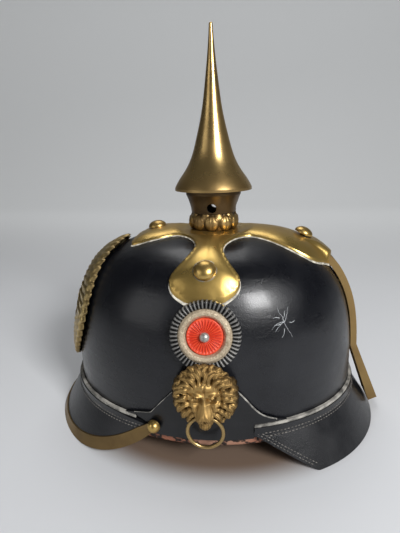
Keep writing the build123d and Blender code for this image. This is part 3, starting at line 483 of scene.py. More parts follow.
# Base plate: brass sheet cut to a cross with four round-waisted arms and raised in the middle of
# each, so that it stands on its edge. A hood at its back covers the spine's top.
def near(finish, spots, reach):
    """One at any of these places, falling to zero at reach from it."""
    tree = finish.node_tree
    place = add_node(tree, "TexCoord").outputs["Object"]
    closest = None
    for spot in spots:
        gap = add_node(tree, "VectorMath", {1: spot}, operation="DISTANCE")
        tree.links.new(place, gap.inputs[0])
        if closest is None:
            closest = gap.outputs["Value"]
            continue
        least = add_node(tree, "Math", operation="MINIMUM")
        tree.links.new(closest, least.inputs[0])
        tree.links.new(gap.outputs["Value"], least.inputs[1])
        closest = least.outputs["Value"]
    fall = add_node(tree, "MapRange", {"From Max": reach, "To Min": 1, "To Max": 0})
    tree.links.new(closest, fall.inputs["Value"])
    return fall.outputs["Result"]


def share_of(value):
    """Value held between 0 and 1."""
    return max(0.0, min(1.0, value))


def dome_top(across, deep, stand):
    """Height of the skull's form, moved out by stand, over a place in plan."""
    reach = sqrt(((across - skull_x) / (skull_long + stand)) ** 2 + (deep / (skull_wide + stand)) ** 2)
    return rim_z + (skull_rise + stand) * max(0.0, 1 - reach ** fullness) ** (1 / fullness)


def rounded(points, steps):
    """Smooth closed line through points."""
    line = []
    for number in range(len(points)):
        before, start, end, after = (Vector(points[(number + shift) % len(points)])
                                     for shift in (-1, 0, 1, 2))
        for step in range(steps):
            share = step / steps
            line.append(0.5 * (2 * start + (end - before) * share
                               + (2 * before - 5 * start + 4 * end - after) * share ** 2
                               + (3 * start - before - 3 * end + after) * share ** 3))
    return line


# Half of the cross's outline in millimetres, from the front arm round the left one to the hood.
half_cross = [
    (-58.3, 0), (-58.4, -14), (-58.5, -23), (-57, -26), (-52, -26.6), (-45, -25.4), (-37, -23.6),
    (-26, -19.6), (-18, -24), (-11.2, -33), (-8.7, -41), (-9.2, -46.8), (-11.6, -52), (-14.4, -56.6),
    (-18.4, -61.2), (-21.4, -64.6), (-22.4, -67.2), (-21.3, -69.7), (-18.7, -71.8), (-15.1, -73.4),
    (-10.6, -74.7), (0, -75.6), (10.6, -74.2), (14.8, -72.6), (18.1, -70.8), (20.4, -68.6),
    (21.4, -66.1), (20.7, -63.9), (18.5, -61.8), (15.3, -58.4), (12.3, -53.6), (10, -47.4), (10.4, -40),
    (14.6, -31), (20.5, -24), (28, -20), (38, -22.4), (48, -26.4), (57, -28.8), (64, -29), (69.5, -28),
    (74.5, -24.6), (79, -19), (83.5, -12.5), (86.6, -6)]
cross_points = [(x / 1000, y / 1000, 0) for x, y in half_cross]
cross_points += [(87.6 / 1000, 0, 0)] + [(x, -y, 0) for x, y, _ in reversed(cross_points[1:])]
cross_line = rounded(cross_points, 4)


def from_edge(spot):
    """Distance in plan from the cross's edge."""
    gaps = []
    for start, end in zip(cross_line, cross_line[1:] + cross_line[:1]):
        along, here = (end - start).xy, (spot - start).xy
        gaps.append((here - along * share_of(here.dot(along) / along.length_squared)).length)
    return min(gaps)


cross = bmesh.new()
cross.faces.new([cross.verts.new(point) for point in cross_line])
cell, cell_start = 0.0015, 0.0003
swell_height, swell_reach, lip_height, lip_width = 0.0032, 0.006, 0.0009, 0.0006
hood_start, hood_length, hood_half, hood_shoulder, hood_height = 0.048, 0.03, 0.0135, 0.0035, 0.0046
for number in range(-50, 62):
    for normal in ((1, 0, 0), (0, 1, 0)):
        bmesh.ops.bisect_plane(cross, geom=cross.verts[:] + cross.edges[:] + cross.faces[:], dist=1e-6,
                               plane_co=Vector(normal) * (cell * number + cell_start), plane_no=normal)
bmesh.ops.remove_doubles(cross, verts=cross.verts, dist=0.00006)
bmesh.ops.triangulate(cross, faces=cross.faces)
for vert in cross.verts:
    spot = vert.co.copy()
    depth = from_edge(spot)
    ridge = swell_height * (1 - exp(-depth / swell_reach)) + lip_height * (1 - exp(-depth / lip_width))
    if spot.length < 0.03:
        ridge *= max(0.25, (spot.length - 0.018) / 0.012)
    climb = share_of((spot.x - hood_start) / hood_length)
    beside = share_of((hood_half - abs(spot.y)) / hood_shoulder)
    ridge = max(ridge, 0.0016 + hood_height * climb * beside * beside * (3 - 2 * beside))
    vert.co.z = dome_top(spot.x, spot.y, 0.0006 + ridge)
for vert in pull(cross, free_edges(cross))[1]:
    vert.co.z = dome_top(vert.co.x, vert.co.y, 0.0001)
face_out(cross)
cross_brass, cross_shader = aged_brass("cross_brass", (0.62, 0.43, 0.13), (0.36, 0.22, 0.07), 0.2, 0.23)
grime_places = [(x, y, dome_top(x, y, stand)) for x, y, stand in
                ((-0.044, 0, 0.0046), (0.067, 0, 0.0062), (0, -0.066, 0.0043), (0, 0.066, 0.0043))]
tree = cross_brass.node_tree
halo = near(cross_brass, grime_places, 0.0088)
ring = add_node(tree, "Math", {1: 0.12}, operation="GREATER_THAN")
tree.links.new(halo, ring.inputs[0])
grime = times(cross_brass, ring.outputs["Value"], noise(cross_brass, 260, 3, 0.1))
plain = cross_shader.inputs["Base Color"].links[0].from_socket
tint(cross_brass, cross_shader, grime, plain, (0.6, 0.56, 0.45))
settle(cross, "base_cross", "helmet", "brass", cross_brass, "spike_base")


# Base studs: domed screws, one in each arm, turned from brass. Each is seated on its raised arm,
# with a plain shank under the head.
def dome_out(x, y, stand):
    """Direction out of the skull's form over a place in plan."""
    here, beyond, beside = (Vector((x + dx, y + dy, dome_top(x + dx, y + dy, stand)))
                            for dx, dy in ((0, 0), (0.001, 0), (0, 0.001)))
    return (here - beyond).cross(here - beside).normalized()


head_radius, head_height, shank_radius, shank_length, shank_sunk = 6.9, 4.6, 0.002, 0.013, 0.0066
studs = bmesh.new()
for x, y, stand in ((-0.044, 0, 0.0046), (0.067, 0, 0.0062), (0, -0.066, 0.0041), (0, 0.066, 0.0041)):
    middle = Vector((x, y, dome_top(x, y, stand)))
    out = dome_out(x, y, stand)
    turned = out.to_track_quat("Z", "Y").to_matrix().to_4x4()
    head = bmesh.ops.create_uvsphere(studs, u_segments=48, v_segments=24, radius=0.001)["verts"]
    for vert in head:
        vert.co = Vector((vert.co.x * head_radius, vert.co.y * head_radius,
                          max(-0.0002, vert.co.z * head_height)))
    bmesh.ops.transform(studs, verts=head, matrix=Matrix.Translation(middle) @ turned)
    shank = bmesh.ops.create_cone(studs, cap_ends=True, segments=24, radius1=shank_radius,
                                  radius2=shank_radius, depth=shank_length)["verts"]
    bmesh.ops.transform(studs, verts=shank, matrix=Matrix.Translation(middle - out * shank_sunk) @ turned)
settle(studs, "arm_studs", "helmet", "brass", brasses["stud_brass"], "base_studs")


# Polish line: a thin pale line of old polish, left along the whole edge of the cross where it
# meets the leather.
line_width, slope_step = 0.0006, 0.001
polish_line = bmesh.new()
last = None
for before, point, after in zip(cross_line[-1:] + cross_line[:-1], cross_line + cross_line[:1],
                                cross_line[1:] + cross_line[:2]):
    away = (after - before).cross(Vector((0, 0, 1))).normalized()
    beyond = point + away * slope_step
    fall = (dome_top(point.x, point.y, 0) - dome_top(beyond.x, beyond.y, 0)) / slope_step
    away *= line_width / sqrt(1 + fall * fall)
    here = [polish_line.verts.new((point.x + away.x * step, point.y + away.y * step,
                                   dome_top(point.x + away.x * step, point.y + away.y * step, stand)))
            for step, stand in ((0, 0.0003), (1.2, 0.0002), (0.5, 0.0009))]
    if last:
        for one, two in ((0, 2), (2, 1)):
            polish_line.faces.new((last[one], last[two], here[two], here[one]))
    last = here
bmesh.ops.remove_doubles(polish_line, verts=polish_line.verts, dist=1e-6)
face_out(polish_line)
chalk, chalk_shader = new_finish("old_polish", 0.8)
tint(chalk, chalk_shader, noise(chalk, 330, 4, 0.12), (0.3, 0.28, 0.23), (0.7, 0.66, 0.56))
settle(polish_line, "polish_line", "helmet", "brass", chalk)


# Leaf collar: a cast ring of upright rounded leaves with smaller ones between them, bright where
# the relief is rubbed and dark brown between the leaves.
def shade(work, depth_at):
    """Keeps how deep each point lies, from 0 (raised) to 1 (in a recess), for the finish."""
    layer = work.verts.layers.float.new("recess")
    for vert in work.verts:
        vert[layer] = depth_at[vert.index]


def recessed(finish, shader, dark, strength=1.0):
    """Darkens a finish in its recesses."""
    depth = add_node(finish.node_tree, "Attribute", attribute_name="recess")
    plain = shader.inputs["Base Color"].links[0].from_socket
    tint(finish, shader, times(finish, depth.outputs["Fac"], strength), plain, dark)


collar = bmesh.new()
bmesh.ops.create_cone(collar, cap_ends=False, segments=200, radius1=1, radius2=1, depth=1)
uprights = [edge for edge in collar.edges if abs(edge.verts[0].co.z - edge.verts[1].co.z) > 0.5]
bmesh.ops.subdivide_edges(collar, edges=uprights, cuts=22)
collar.verts.ensure_lookup_table()
collar.verts.index_update()
depths = {}
collar_foot, collar_height, collar_bore, leaf_count = 0.1434, 0.0122, 0.0151, 10
for vert in collar.verts:
    angle = atan2(vert.co.y, vert.co.x)
    climb = vert.co.z + 0.5
    turn = (angle + pi / 2) / (2 * pi / leaf_count)
    across = abs(turn - round(turn)) * 2
    round_leaf = max(0.0, 1 - ((across / 0.96) ** 2 + ((climb - 0.46) / 0.46) ** 2))
    back_leaf = max(0.0, 1 - (((1 - across) / 0.6) ** 2 + ((climb - 0.84) / 0.3) ** 2))
    vein = exp(-(across / 0.09) ** 2) * (climb < 0.8)
    swell = 0.0019 * round_leaf ** 0.5 + 0.0011 * back_leaf ** 0.6
    base = 0.0158 + 0.0015 * sin(pi * min(1, climb + 0.1)) ** 0.7
    radius = min(0.0190, base + swell - 0.0003 * vein)
    depths[vert.index] = share_of(1 - 1.5 * (round_leaf ** 0.5 + 0.6 * back_leaf ** 0.5))
    vert.co = Vector((radius * cos(angle), radius * sin(angle), collar_foot + climb * collar_height))
shade(collar, depths)
for vert in pull(collar, free_edges(collar))[1]:
    vert.co.xy = vert.co.xy.normalized() * collar_bore
face_out(collar)
collar_brass, collar_shader = aged_brass("collar_brass", (0.5, 0.34, 0.13), (0.16, 0.09, 0.04), 0.14, 0.3)
recessed(collar_brass, collar_shader, (0.04, 0.025, 0.015), 0.9)
settle(collar, "leaf_collar_relief", "helmet", "dark_brass", collar_brass, "leaf_collar")


# Cockades: a rosette of pleated black leather round a raised, grainy silvered ring and a red centre
# pressed in fine pleats, all held by one pin. Each is made on the left and mirrored.
flank_x = 0.0012


def flank_frame(height, stand):
    """Matrix of the plane on the left flank at a height over the rim: x backwards, y up, z out."""
    long, wide, rise = skull_long + stand, skull_wide + stand, skull_rise + stand
    across = (flank_x - skull_x) / long
    share = height / rise
    beside = -sqrt((1 - share ** fullness) ** (2 / fullness) - across ** 2)
    reach = sqrt(across ** 2 + beside ** 2)
    out = Vector((reach ** (fullness - 2) * across / long, reach ** (fullness - 2) * beside / wide,
                  share ** (fullness - 1) / rise)).normalized()
    along = out.cross(Vector((0, 0, -1))).normalized()
    spot = Vector((across * long + skull_x, beside * wide, rim_z + height))
    return Matrix.Translation(spot) @ Matrix((along, out.cross(along), out)).transposed().to_4x4()


def rosette(inner, outer, rings, spokes):
    """Flat ring of faces round the Z axis, its points numbered."""
    work = bmesh.new()
    bmesh.ops.create_circle(work, cap_ends=False, segments=spokes, radius=inner)
    edges = work.edges[:]
    for number in range(rings):
        edges, verts = pull(work, edges)
        here, beyond = (inner + (outer - inner) * (number + more) / rings for more in (0, 1))
        bmesh.ops.scale(work, vec=(beyond / here, beyond / here, 1), verts=verts)
    work.verts.ensure_lookup_table()
    work.verts.index_update()
    return work


def both_flanks(work, matrix, name, slot, finish, node):
    """Puts a piece on the left flank and its mirror image on the right."""
    bmesh.ops.transform(work, matrix=matrix, verts=work.verts)
    face_out(work)
    twin = work.copy()
    settle(work, name + "_left", "helmet", slot, finish, node + "_left")
    bmesh.ops.scale(twin, vec=(1, -1, 1), verts=twin.verts)
    bmesh.ops.reverse_faces(twin, faces=twin.faces)
    settle(twin, name + "_right", "helmet", slot, finish, node + "_right")


on_cockade = flank_frame(0.071, 0.0003)
pleat_inner, pleat_outer, pleat_count = 0.0158, 0.0218, 50
pleats = rosette(pleat_inner, pleat_outer, 12, 600)
depths = {}
for vert in pleats.verts:
    reach = vert.co.xy.length
    turn = atan2(vert.co.y, vert.co.x)
    share = (reach - pleat_inner) / (pleat_outer - pleat_inner)
    swell = max(0.0, 1 - (2 * share - 1) ** 4) ** 0.5
    fold = 0.5 + 0.5 * cos(pleat_count * turn + 0.6 * sin(3 * turn))
    # How deep a place lies between the pleat ridges; the slots are painted black as painted shade.
    depths[vert.index] = min(1.0, max(0.0, 0.72 - fold) * 3)
    vert.co.z = 0.0008 + 0.0042 * swell * (0.66 + 0.34 * fold ** 0.7)
    if share > 0.6:
        vert.co.xy *= 1 + 0.012 * (fold - 1) * (share - 0.6) / 0.4
shade(pleats, depths)
for vert in pull(pleats, free_edges(pleats))[1]:
    vert.co.z = 0
# The pleats are painted mid grey as a painted highlight on their ridges, and black in the slots as painted
# shade.
pleat_light_and_shade, pleat_light_and_shade_shader = black_leather("pleated_leather", (0.1, 0.098, 0.094), (0.34, 0.33, 0.31), 0.26)
recessed(pleat_light_and_shade, pleat_light_and_shade_shader, (0.003, 0.003, 0.003))
both_flanks(pleats, on_cockade, "cockade_pleats", "pleated_leather", pleat_light_and_shade, "cockade_ring")

silver_inner, silver_outer, bevel_share, slope_share = 0.0111, 0.0164, 0.32, 0.7
silver = rosette(silver_inner, silver_outer, 14, 220)
random.seed(4)
for vert in silver.verts:
    share = (vert.co.xy.length - silver_inner) / (silver_outer - silver_inner)
    if share < bevel_share:
        height = 0.0030 + 0.0026 * min(1.0, share / bevel_share)
    else:
        height = 0.0056 - 0.0014 * max(0, share - slope_share) / 0.3
    grain = 0.00013 * random.uniform(-1, 1) if 0.3 < share < 0.95 else 0
    vert.co.z = height + grain
for vert in pull(silver, free_edges(silver))[1]:
    vert.co.z = 0.001
silvering, silver_shader = new_finish("granular_silver", 0.5, 0.35)
grains = noise(silvering, 900, 3, 0.14)
stains = times(silvering, grains, noise(silvering, 120, 4, 0.2))
tint(silvering, silver_shader, stains, (0.5, 0.41, 0.29), (0.24, 0.18, 0.11))
silvering.node_tree.links.new(emboss(silvering, grains, 0.0004, 0.5), silver_shader.inputs["Normal"])
both_flanks(silver, on_cockade, "cockade_silvering", "silvered_metal", silvering, "cockade_silver")

heart_inner, heart_outer, heart_folds = 0.0022, 0.0110, 30
centre = rosette(heart_inner, heart_outer, 16, 360)
depths = {}
for vert in centre.verts:
    share = (vert.co.xy.length - heart_inner) / (heart_outer - heart_inner)
    turn = atan2(vert.co.y, vert.co.x)
    fold = 0.5 + 0.5 * cos(heart_folds * turn)
    edge = share_of((share - 0.8) / 0.12)
    # The hollows between the folds are marked for painted shade.
    depths[vert.index] = (1 - fold) * (1 - edge)
    swell = 0.0008 * fold * (1 - edge) * min(1, share * 3)
    vert.co.z = 0.0040 + swell + 0.0007 * edge + 0.0006 * (1 - share)
shade(centre, depths)
for vert in pull(centre, free_edges(centre))[1]:
    vert.co.z = 0.0015
red, red_shader = new_finish("red_lacquer", 0.42)
tint(red, red_shader, noise(red, 260, 4, 0.18), (0.6, 0.035, 0.01), (0.74, 0.08, 0.025))
# Darker red in the fold hollows: painted shade.
recessed(red, red_shader, (0.42, 0.012, 0.006), 0.7)
both_flanks(centre, on_cockade, "cockade_heart", "red_lacquer", red, "cockade_centre")


# Lion masks: cast brass, gilt once and dark in every recess. A mane of flowing locks frames the
# brow, eyes, muzzle and chin, and the mouth holds a loose ring.
def bell(value, width):
    """Rounded bump of height 1 at value 0."""
    return exp(-(value / width) ** 2)


# The mane, in millimetres: three rings of locks, each with its count, place, length, half width and
# height. A lock is a line of eight points that curls outwards.
random.seed(12)
locks = []
lock_steps = 7
for count, ring_share, long, half, stand in ((17, 1.0, 9.2, 2.15, 9.8), (19, 1.3, 8.8, 2.35, 8.5),
                                             (23, 1.62, 6.8, 2.3, 6.8)):
    for number in range(count):
        turn = radians(146) * (2 * number / (count - 1) - 1) + random.uniform(-0.05, 0.05)
        x = 9.0 * ring_share * sin(turn)
        y = 0.4 + 11.0 * ring_share * cos(turn) / (1.07 if ring_share > 1.2 else 1)
        way = 1 if turn > 0 else -1
        reach = long * random.uniform(0.85, 1.12)
        heading = turn - way * random.uniform(0.35, 0.6)
        line = [(x, y)]
        for step in range(lock_steps):
            heading += way * (0.42 if step > 1 else 0.05) * random.uniform(0.6, 1.2)
            x += reach / lock_steps * sin(heading)
            y += reach / lock_steps * cos(heading)
            line.append((x, y))
        size = max(sqrt((px - line[4][0]) ** 2 + (py - line[4][1]) ** 2) for px, py in line) + half
        locks.append((line, size, half * random.uniform(0.9, 1.15), stand * random.uniform(0.95, 1.06)))


def mane_at(x, y):
    """Height of the mane's highest lock at a place, and how deep the place lies."""
    best, depth = 0.0, 1.0
    for line, size, half, stand in locks:
        if (x - line[4][0]) ** 2 + (y - line[4][1]) ** 2 > size * size:
            continue
        close, where, way = 99.0, 0.0, 1
        for number, ((ax, ay), (bx, by)) in enumerate(zip(line, line[1:])):
            ux, uy = bx - ax, by - ay
            share = share_of(((x - ax) * ux + (y - ay) * uy) / (ux * ux + uy * uy))
            dx, dy = x - ax - ux * share, y - ay - uy * share
            gap = sqrt(dx * dx + dy * dy)
            if gap < close:
                close, where = gap, (number + share) / lock_steps
                way = 1 if ux * dy - uy * dx > 0 else -1
        width = half * (0.5 + 1.25 * where - 1.5 * where ** 2.2)
        if close >= width:
            continue
        across = close / width * way
        groove = 0.5 - 0.5 * cos((across + 0.33) * pi * 3)
        rounding = 2.4 * (1 - sqrt(1 - across * across))
        height = stand - 2.2 * where ** 2 + sin(pi * where) - rounding - 0.38 * groove
        if height > best:
            best, depth = height, 0.95 * abs(across) ** 4 + 0.4 * groove
    return best, depth


# The loose ring, in millimetres: its radius, where it hangs, and the outer and inner radii that it
# sweeps, with their squares. No part of the mask is higher than mask_top.
ring_radius, pivot_y, pivot_z = 11.05, -13.1, 6.2
swept_outer, swept_outer_square, swept_inner, swept_inner_square = 12.6, 158.8, 9.5, 90.2
mask_top = 14.0


def ring_room(x, y):
    """Height that the swinging ring leaves free."""
    down = pivot_y - y
    if down < -1.55 or abs(x) >= swept_outer:
        return mask_top
    inner = ring_radius - sqrt(swept_outer_square - x * x)
    if abs(down) < inner:
        return pivot_z + sqrt(inner * inner - down * down)
    if abs(x) < swept_inner and down > ring_radius - sqrt(swept_inner_square - x * x):
        return mask_top
    return 4.5 - 0.09 * max(0.0, down)


def mound(across, along, half_across, half_along):
    """Rounded oval bump of height 1, from the offsets from its middle and its half sizes."""
    return bell(sqrt((across / half_across) ** 2 + (along / half_along) ** 2), 1)


def lion_relief(x, y):
    """Height of the mask and how deep the place lies, all in millimetres from its middle."""
    mane, groove = mane_at(x, y)
    low = 4.0 if y < 12 else 5.6
    if mane < low:
        mane, groove = low, 1.0
    side = abs(x)
    half_face = 10.6 if y > -2 else 10.6 + 0.33 * (y + 2)
    edge = sqrt((x / half_face) ** 2 + ((y - 0.6) / (11.6 if y > 0.6 else 15)) ** 2)
    face = 1 / (1 + exp((edge - 1.0) * 16))
    skin = 8.8 - 1.2 * bell(side - 9.6, 2.2)

    # Forehead with its furrow, and the brows.
    skin += 2.6 * mound(x, y - 8.0, 6.0, 3.8) - 1.0 * bell(x, 0.7) * bell(y - 6.5, 3.2)
    skin += 3.2 * mound(side - 4.4, y - 3.4 - 0.2 * (side - 4), 2.9, 1.3)

    # Eyes.
    socket = mound(side - 4.4, y + 0.1, 2.7, 1.9)
    ball = mound(side - 4.3, y + 0.2, 1.3, 0.9)
    lid = mound(side - 4.9, y + 2.2 - 0.15 * (side - 4), 2.2, 0.55)
    skin += 2.6 * ball - 4.2 * socket + 1.3 * lid

    # Nose, muzzle, cheeks and the crease between them.
    fall = share_of((5.5 - y) / 4) * share_of((y + 9.4) / 0.9)
    skin += (1.6 + 0.26 * max(0.0, 2 - y)) * bell(x, 2.4 + 0.1 * max(0.0, 1 - y)) * fall
    skin += 0.9 * mound(side - 1.9, y + 8.4, 0.9, 1.0)
    pad = mound(side - 3.2, y + 9.4, 3.2, 2.9)
    skin += 3.9 * pad
    skin += 1.9 * mound(side - 7.0, y + 4.4, 2.3, 4.2)
    crease = bell(side - 3.6 - 0.35 * max(0.0, -y - 3), 0.6) * bell(y + 5.5, 2.6)
    skin -= 0.8 * crease
    nostril = mound(side - 1.4, y + 9.3, 0.7, 0.55)
    split = bell(x, 0.35) * bell(y + 10.8, 1.0)
    skin -= 1.3 * nostril + 0.9 * split
    dark = 1.25 * max(0.0, socket - ball - lid) + 0.5 * crease + 1.2 * nostril + split
    dark += 0.35 * bell(edge - 0.97, 0.05)
    dark += 0.4 * bell(x, 0.5) * bell(y - 6.5, 2.6) + 0.35 * (0.5 + 0.5 * cos(side * 4.4 + y * 1.5)) * pad

    # Face and mane together, under the room that the loose ring needs.
    height = mane * (1 - face) + skin * face
    dark = groove * (1 - face) + dark * face
    room = ring_room(x, y)
    if height > room:
        height = room
        dark = max(dark, 0.8 if room < 6 else 0.0)

    # Lower jaw, under the ring.
    chin = mound(x, y + 18.8, 3.9, 4.0)
    lip = mound(x, y + 16.0 - 0.06 * x * x, 3.4, 0.9)
    low_jaw = 4.2 + 5.2 * chin + 0.8 * lip + 0.35 * cos(x * 4) * chin
    if y < -14.2 and side < 7 and min(low_jaw, room) > height:
        height = min(low_jaw, room)
        dark = 0.6 - 0.55 * max(chin, lip) + 0.3 * (0.5 - 0.5 * cos(x * 4)) * chin
        dark = max(dark, 0.7 * bell(y + 17.6 - 0.06 * x * x, 0.4))
    return max(1.2, min(mask_top, height)), share_of(dark)


def back_foot(y):
    """Height of the mask's back edge over the skull, in millimetres, at a height on the mask."""
    return 5.0 * share_of((y * 1000 - 11) / 3)


# Outline of the mane, from its top downwards: angle in degrees and reach in millimetres.
mask_edge = [(0, 21.6), (12, 21.6), (20, 21.9), (35, 21.0), (52, 20.8), (65, 20.6), (84, 20.3),
             (97, 20.4), (110, 20.8), (122, 20.8), (135, 20.6), (148, 20.2), (156, 19.4), (163, 19.0),
             (171, 21.4), (181, 23.4)]
mask_reach, lock_ends, edge_share = 0.020, 27, 0.035
lip_half, lip_foot, lip_reach = 6.4, 6.4, 0.0036
on_lion = flank_frame(0.036, 0.0021)
lion = rosette(0.0002, mask_reach, 92, 360)
depths = {}
for vert in lion.verts:
    turn = atan2(vert.co.x, vert.co.y)
    degrees_down = abs(turn) * 180 / pi
    past = max(number for number, (angle, _) in enumerate(mask_edge) if angle <= degrees_down)
    (start, low), (end, high) = mask_edge[past], mask_edge[past + 1]
    limit = low + (high - low) * (degrees_down - start) / (end - start)
    share = vert.co.xy.length / mask_reach
    vert.co.xy *= limit / 20 * (1 + 0.02 * share * cos(turn * lock_ends) * share)
    height, depth = lion_relief(vert.co.x * 1000, vert.co.y * 1000)
    foot = back_foot(vert.co.y)
    fall = share_of((1 - share) / edge_share) ** 0.5
    depths[vert.index] = max(depth, 0.5 * (1 - fall))
    vert.co.z = (foot + 0.4 + (height - foot - 0.4) * fall) / 1000

    # The upper lip hangs over the ring.
    beside, drop = abs(vert.co.x * 1000), -vert.co.y * 1000
    if beside < lip_half and 5 < drop < 11.7:
        room = lip_foot + ring_radius - sqrt(swept_inner_square - beside * beside)
        lip = share_of((vert.co.z * 1000 - room) / 1.6)
        lip = lip * min(1.0, (drop - 5) / 6) * min(1.0, (lip_half - beside) / 1.5)
        vert.co.y -= lip_reach * lip * lip * (3 - 2 * lip)
shade(lion, depths)
outline = [edge for edge in free_edges(lion) if edge.verts[0].co.xy.length > mask_reach / 2]
for vert in pull(lion, outline)[1]:
    vert.co.z = back_foot(vert.co.y) / 1000
bmesh.ops.holes_fill(lion, edges=free_edges(lion))
gilt, gilt_shader = aged_brass("lion_gilt", (0.46, 0.3, 0.11), (0.22, 0.125, 0.045), 0.18, 0.45)
recessed(gilt, gilt_shader, (0.05, 0.03, 0.013), 0.92)
both_flanks(lion, on_lion, "lion_mask", "lion_brass", gilt, "lion_head")
ring_gilt, _ = aged_brass("ring_gilt", (0.44, 0.31, 0.13), (0.2, 0.13, 0.06), 0.2, 0.28)
cover(ring_gilt, "lion_ring_left", "lion_ring_right")


# Front plate: stamped brass in an oval: a beaded edge, a wreath of overlapping leaves, and a star
# of plain rays round a bare boss. It follows the skull at a little distance.
plate_half_wide, plate_half_high, plate_middle, plate_stand = 0.0505, 0.0495, 0.088, 0.0034
wreath_share, leaf_share, boss_share, ray_count, notch_count = 0.66, 0.82, 0.24, 8, 47


def from_foot(turn):
    """Angle from the plate's lowest point, the same on both halves."""
    return abs(atan2(sin(turn), -cos(turn)))


def plate_relief(reach, turn):
    """Height in millimetres over the plate's field, and how deep the place lies."""
    if reach > wreath_share:
        step = from_foot(turn) * 7.5 + (reach - leaf_share) * 6
        phase = step - int(step)
        across = (reach - leaf_share) / 0.15
        leaf = max(0.0, 1 - across ** 2) ** 0.5 * (0.35 + 0.65 * phase)
        vein = bell(across - 0.05, 0.06) * 0.5
        edge = bell((reach - 0.975) / 0.02, 1)
        return 0.5 + 1.7 * leaf - vein * leaf + 1.0 * edge, max(0.0, 0.9 - 1.1 * leaf - edge + 0.5 * vein)
    if reach > boss_share:
        ray = abs(((turn / (2 * pi) * ray_count) % 1) - 0.5) * 2
        limit = boss_share + 0.4 * (1 - ray)
        inside = share_of((limit - reach) / 0.05 + 0.3)
        facet = 0.5 + 0.5 * cos(turn * 40)
        height = 0.15 + inside * (1.5 * (1 - ray) ** 0.6 * (1 - 0.5 * reach / wreath_share) + 0.25 * facet)
        return height, max(0.0, 0.55 - 0.6 * inside + 0.3 * (1 - facet) * inside)
    dish = reach / boss_share
    boss = 1.2 + 1.2 * sqrt(max(0.0, 1 - dish ** 2)) + 0.7 * bell(dish - 0.9, 0.08)
    return boss, 0.8 * bell(dish - 0.99, 0.05)


plate = rosette(0.0002, 1.0, 90, 360)
depths = {}
for vert in plate.verts:
    reach = min(1.0, vert.co.xy.length)
    turn = atan2(vert.co.y, vert.co.x)
    height, depth = plate_relief(reach, turn)
    notch = 1 - 0.03 * (0.5 + 0.5 * cos(from_foot(turn) * notch_count))
    y = plate_half_wide * notch * vert.co.x
    z = plate_middle + plate_half_high * notch * vert.co.y
    stand = plate_stand + height / 1000
    level = (z - rim_z) / (skull_rise + stand)
    round_share = (1 - level ** fullness) ** (2 / fullness)
    forward = sqrt(max(0.0001, round_share - (y / (skull_wide + stand)) ** 2))
    depths[vert.index] = min(1.0, depth)
    vert.co = Vector((skull_x - (skull_long + stand) * forward, y, z))
shade(plate, depths)
bmesh.ops.holes_fill(plate, edges=[edge for edge in free_edges(plate) if abs(edge.verts[0].co.y) < 0.003])
for vert in pull(plate, free_edges(plate))[1]:
    vert.co += Vector((0.0022, -vert.co.y * 0.02, -0.0004 if vert.co.z > 0.1 else 0.0002))
face_out(plate)
plate_brass, plate_shader = aged_brass("plate_brass", (0.66, 0.5, 0.22), (0.38, 0.26, 0.11), 0.2, 0.26)
recessed(plate_brass, plate_shader, (0.06, 0.035, 0.015), 0.85)
settle(plate, "front_plate_relief", "helmet", "plate_brass", plate_brass, "front_plate")


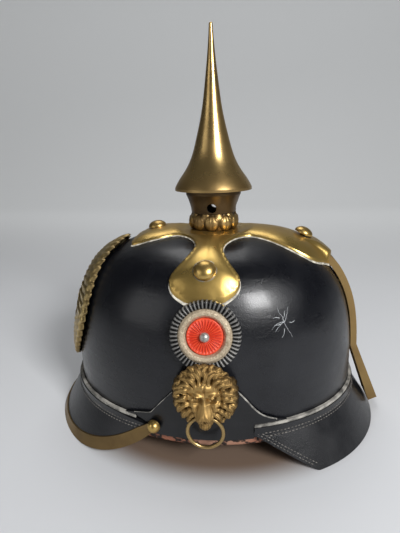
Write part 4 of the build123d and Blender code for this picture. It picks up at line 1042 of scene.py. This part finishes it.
# Sweatband: a strip of red-brown leather with black blotches, sewn inside the rim. Its rounded
# lower edge hangs a little under the skull's.
band_leather, band_shader = black_leather("sweatband_leather", (0.27, 0.1, 0.06), (0.36, 0.22, 0.15), 0.5)
blotch = between(band_leather, noise(band_leather, 170, 4, 0.05, (1, 1, 1.6)), -0.9, 1.0)
plain = band_shader.inputs["Base Color"].links[0].from_socket
tint(band_leather, band_shader, blotch, plain, (0.02, 0.013, 0.011))
strip = bmesh.new()
rows = []
band_steps = 180
turns = [2 * pi * step / band_steps for step in range(band_steps)]
for inward, height in ((0.0028, 0.047), (0.0028, 0.022), (0.0020, 0.0205), (0.0016, 0.0165),
                       (0.0020, 0.0157), (0.0026, 0.0157), (0.0042, 0.022), (0.0044, 0.047)):
    level = max(0.0, height - rim_z) / skull_rise
    grow = (1 - level ** fullness) ** (1 / fullness)
    long, wide = (skull_long - inward) * grow, (skull_wide - inward) * grow
    rows.append([strip.verts.new((skull_x + long * cos(turn), wide * sin(turn), height))
                 for turn in turns])
for inner, outer in zip(rows, rows[1:] + rows[:1]):
    for step in range(band_steps):
        strip.faces.new((inner[step], outer[step], outer[step - 1], inner[step - 1]))
face_out(strip)
settle(strip, "sweatband_strip", "helmet", "band_leather", band_leather, "sweatband")


# Lining: thin brown cloth, gathered in pleats to an opening under the crown and sewn in above
# the sweatband.
hem_share, crown_share, cloth_folds, cloth_inward, fold_depth = 0.105, 0.895, 44, 0.0082, 0.0016
cloth = bmesh.new()
bmesh.ops.create_cone(cloth, cap_ends=False, segments=360, radius1=1, radius2=1, depth=1)
uprights = [edge for edge in cloth.edges if abs(edge.verts[0].co.z - edge.verts[1].co.z) > 0.5]
bmesh.ops.subdivide_edges(cloth, edges=uprights, cuts=26)
for vert in cloth.verts:
    turn = atan2(vert.co.y, vert.co.x)
    climb = vert.co.z + 0.5
    quarter = (hem_share + (crown_share - hem_share) * climb) * pi / 2
    fold = 0.5 + 0.5 * cos(cloth_folds * turn + 2 * sin(2 * turn))
    inward = cloth_inward + fold_depth * climb * fold
    spread, rise = cos(quarter) ** (2 / fullness), sin(quarter) ** (2 / fullness)
    vert.co = Vector((skull_x + (skull_long - inward) * spread * cos(turn),
                      (skull_wide - inward) * spread * sin(turn), rim_z + (skull_rise - inward) * rise))
face_out(cloth)
lining_cloth, lining_shader = new_finish("lining_cloth", 0.9)
weave = noise(lining_cloth, 1400, 2, 0.25)
tint(lining_cloth, lining_shader, noise(lining_cloth, 30, 5, 0.2), (0.3, 0.22, 0.13), (0.17, 0.12, 0.07))
lining_cloth.node_tree.links.new(emboss(lining_cloth, weave, 0.0003, 0.6), lining_shader.inputs["Normal"])
gathered = settle(cloth, "gathered_lining", "helmet", "cloth", lining_cloth, "lining")
thick = gathered.modifiers.new("thickness", "SOLIDIFY")
thick.thickness = 0.0006
thick.offset = -1
